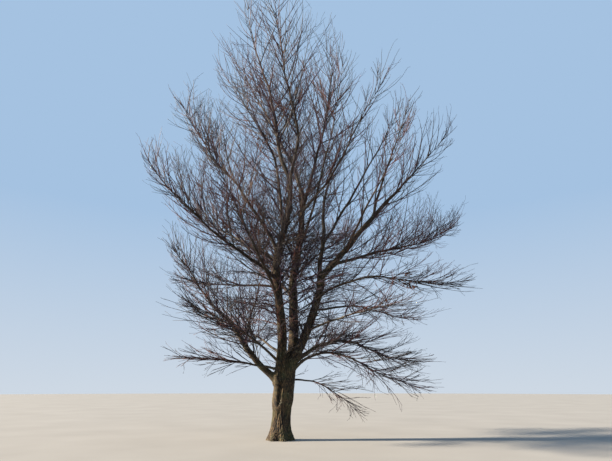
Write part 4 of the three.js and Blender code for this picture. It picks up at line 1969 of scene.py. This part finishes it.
@dataclass(frozen=True)
class WitheredLeaves:
    """Clumps of dead leaves that still hang on at two places, curled up and caught among the twigs.

    clumps names the limb and the share of its length that each clump hangs nearest to. A leaf's blade is
    narrowest at its two ends, cupped across by a share of its width, and curled along by so many degrees.
    """

    finish: WitheredLeaf = WitheredLeaf()
    clumps: tuple[tuple[str, float], ...] = (("left_upper", 0.46), ("right_level_upper", 0.68))
    leaves_each: int = 36
    length: float = 66.0
    half_width: float = 24.0
    size_spread: float = 0.3
    curl: float = 200.0
    cupping: float = 0.7
    tilt: float = 0.8
    blade_power: float = 0.8
    narrowest: float = 0.06
    rows: int = 7
    columns: int = 4

    def build(self, frame: Framework, twigs: Wood) -> None:
        """Builds all the leaves as one piece.

        Args:
            frame: Where the limbs run.
            twigs: The twigs that carry the leaves.
        """
        hooks = twigs.points.reshape(-1, 3)
        keys = np.repeat(twigs.keys, twigs.points.shape[1]) + np.arange(len(hooks))
        nearest = []
        for name, share in self.clumps:
            away = np.linalg.norm(hooks - frame.limbs[name].curve(np.array([share])), axis=1)
            nearest.append(np.argsort(away, kind="stable")[: self.leaves_each])
        chosen = np.unique(np.concatenate(nearest))
        blades = self.blades(hooks[chosen], keys[chosen])
        piece = make_object("withered_leaves", blades, self.faces(len(chosen)), [self.finish.material()])
        hand_over(piece, Slot.TWIGS, [frame.limbs[name].mass for name, _ in self.clumps])

    def faces(self, count: int) -> list[list[int]]:
        """Gives the faces of leaves.

        Args:
            count: How many leaves there are.

        Returns:
            The numbers of the points round each face, leaf by leaf.
        """
        corner = np.arange(self.rows - 1)[:, None] * self.columns + np.arange(self.columns - 1)
        quads = np.stack([corner, corner + 1, corner + self.columns + 1, corner + self.columns], 2)
        starts = np.arange(count)[:, None, None] * self.rows * self.columns
        return (quads.reshape(1, -1, 4) + starts).reshape(-1, 4).tolist()

    def blades(self, hooks: np.ndarray, keys: np.ndarray) -> np.ndarray:
        """Gives the points of curled leaves that hang from their hooks.

        Args:
            hooks: Where the leaves hang.
            keys: A key for each leaf.

        Returns:
            The points, leaf by leaf and row by row.
        """
        chances = [sway(keys, Use.LEAF.value + i) for i in range(4)]
        level = np.zeros(len(keys))
        down = unit(-UP + self.tilt * np.stack([chances[0], chances[1], level], 1))
        turn = math.pi * chances[2]
        side = unit(np.cross(down, np.stack([np.cos(turn), np.sin(turn), level], 1)))
        front = np.cross(side, down)
        size = (1.0 + self.size_spread * chances[3])[:, None, None] * MM
        shares = np.linspace(0.0, 1.0, self.rows)
        bend = np.radians(self.curl) * shares**2
        step = self.length / (self.rows - 1)
        drop = np.cumsum(np.cos(bend) * step) - step
        forward = np.cumsum(np.sin(bend) * step)
        width = self.half_width * np.maximum(np.sin(math.pi * shares**self.blade_power), self.narrowest)
        across = np.linspace(-1.0, 1.0, self.columns)
        cup = self.cupping * width[:, None] * across**2
        shifts = ((down, drop[:, None]), (front, forward[:, None] + cup), (side, width[:, None] * across))
        blades = hooks[:, None, None]
        for axis, shift in shifts:
            blades = blades + axis[:, None, None] * (size * shift)[..., None]
        return blades.reshape(-1, 3)


@dataclass(frozen=True)
class Studio:
    """A pale floor, soft light from the left and the camera where the tree is seen from.

    Places, reaches and the floor's radius are in metres. The backdrop's stops are the sines of how high its
    colours stand above eye level.
    """

    camera_place: tuple[float, float, float] = (0.54, -10.49, 1.03)
    camera_tilt: float = 18.9
    camera_reach: float = 500.0
    picture_width_px: float = 612.0
    focal_px: float = 460.0
    sensor_width: float = 36.0
    floor: StudioPlaster = StudioPlaster()
    floor_radius: float = 90.0
    floor_corners: int = 96
    backdrop: Stops = ((0.0, "#cdd8e4"), (0.35, "#a5c2e1"), (0.75, "#a5c2e1"), (1.0, "#56779f"))
    sun: str = "#ffedd6"
    sun_strength: float = 16.5
    sun_softness: float = 3.0
    sun_from: tuple[float, float, float] = (-1.0, -0.05, 0.36)

    def build(self) -> None:
        """Builds the floor, the light and the camera."""
        bpy.context.scene.view_settings.view_transform = "Standard"
        self.build_floor()
        self.build_world()
        self.build_sun()
        self.build_camera()

    def build_floor(self) -> None:
        """Builds the floor, a disc with its middle under the tree."""
        angles = angles_round(self.floor_corners)
        rim = np.stack([np.cos(angles), np.sin(angles), np.zeros_like(angles)], 1) * self.floor_radius
        floor = make_object("floor", rim, [list(range(self.floor_corners))], [self.floor.material()])
        floor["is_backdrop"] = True
        report(floor)

    def build_world(self) -> None:
        """Builds the backdrop, which is pale at eye level and deeper blue upwards."""
        world = bpy.data.worlds.new("studio")
        world.use_nodes = True
        tree = world.node_tree
        toward = add_node(tree, "ShaderNodeTexCoord").outputs["Generated"]
        up = add_node(tree, "ShaderNodeSeparateXYZ", {0: toward}).outputs["Z"]
        colour = add_node(tree, "ShaderNodeValToRGB", {"Fac": up}, self.backdrop).outputs["Color"]
        tree.links.new(colour, tree.nodes["Background"].inputs["Color"])
        bpy.context.scene.world = world

    def build_sun(self) -> None:
        """Builds the low, soft sun."""
        lamp = bpy.data.lights.new("soft_sun", "SUN")
        lamp.energy = self.sun_strength
        lamp.angle = math.radians(self.sun_softness)
        lamp.color = linear(self.sun)[:3]
        sun = bpy.data.objects.new("soft_sun", lamp)
        sun.rotation_euler = (-Vector(self.sun_from)).to_track_quat("-Z", "Y").to_euler()
        bpy.context.scene.collection.objects.link(sun)

    def build_camera(self) -> None:
        """Builds the camera, which stands low and is tilted up at the crown."""
        lens = bpy.data.cameras.new("camera")
        lens.sensor_width = self.sensor_width
        lens.lens = self.focal_px / self.picture_width_px * self.sensor_width
        lens.clip_end = self.camera_reach
        camera = bpy.data.objects.new("camera", lens)
        camera.location = self.camera_place
        camera.rotation_euler = (math.radians(90.0 + self.camera_tilt), 0.0, 0.0)
        bpy.context.scene.collection.objects.link(camera)
        bpy.context.scene.camera = camera


def main() -> None:
    """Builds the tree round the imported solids."""
    logging.basicConfig(level=logging.INFO, format="%(name)s %(message)s")
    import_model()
    low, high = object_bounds()
    Studio().build()
    frame = Framework()
    BarkCover(frame).build()
    twigs = Crown(frame, low, high).build()
    WitheredLeaves().build(frame, twigs)


if __name__ == "__main__":
    main()
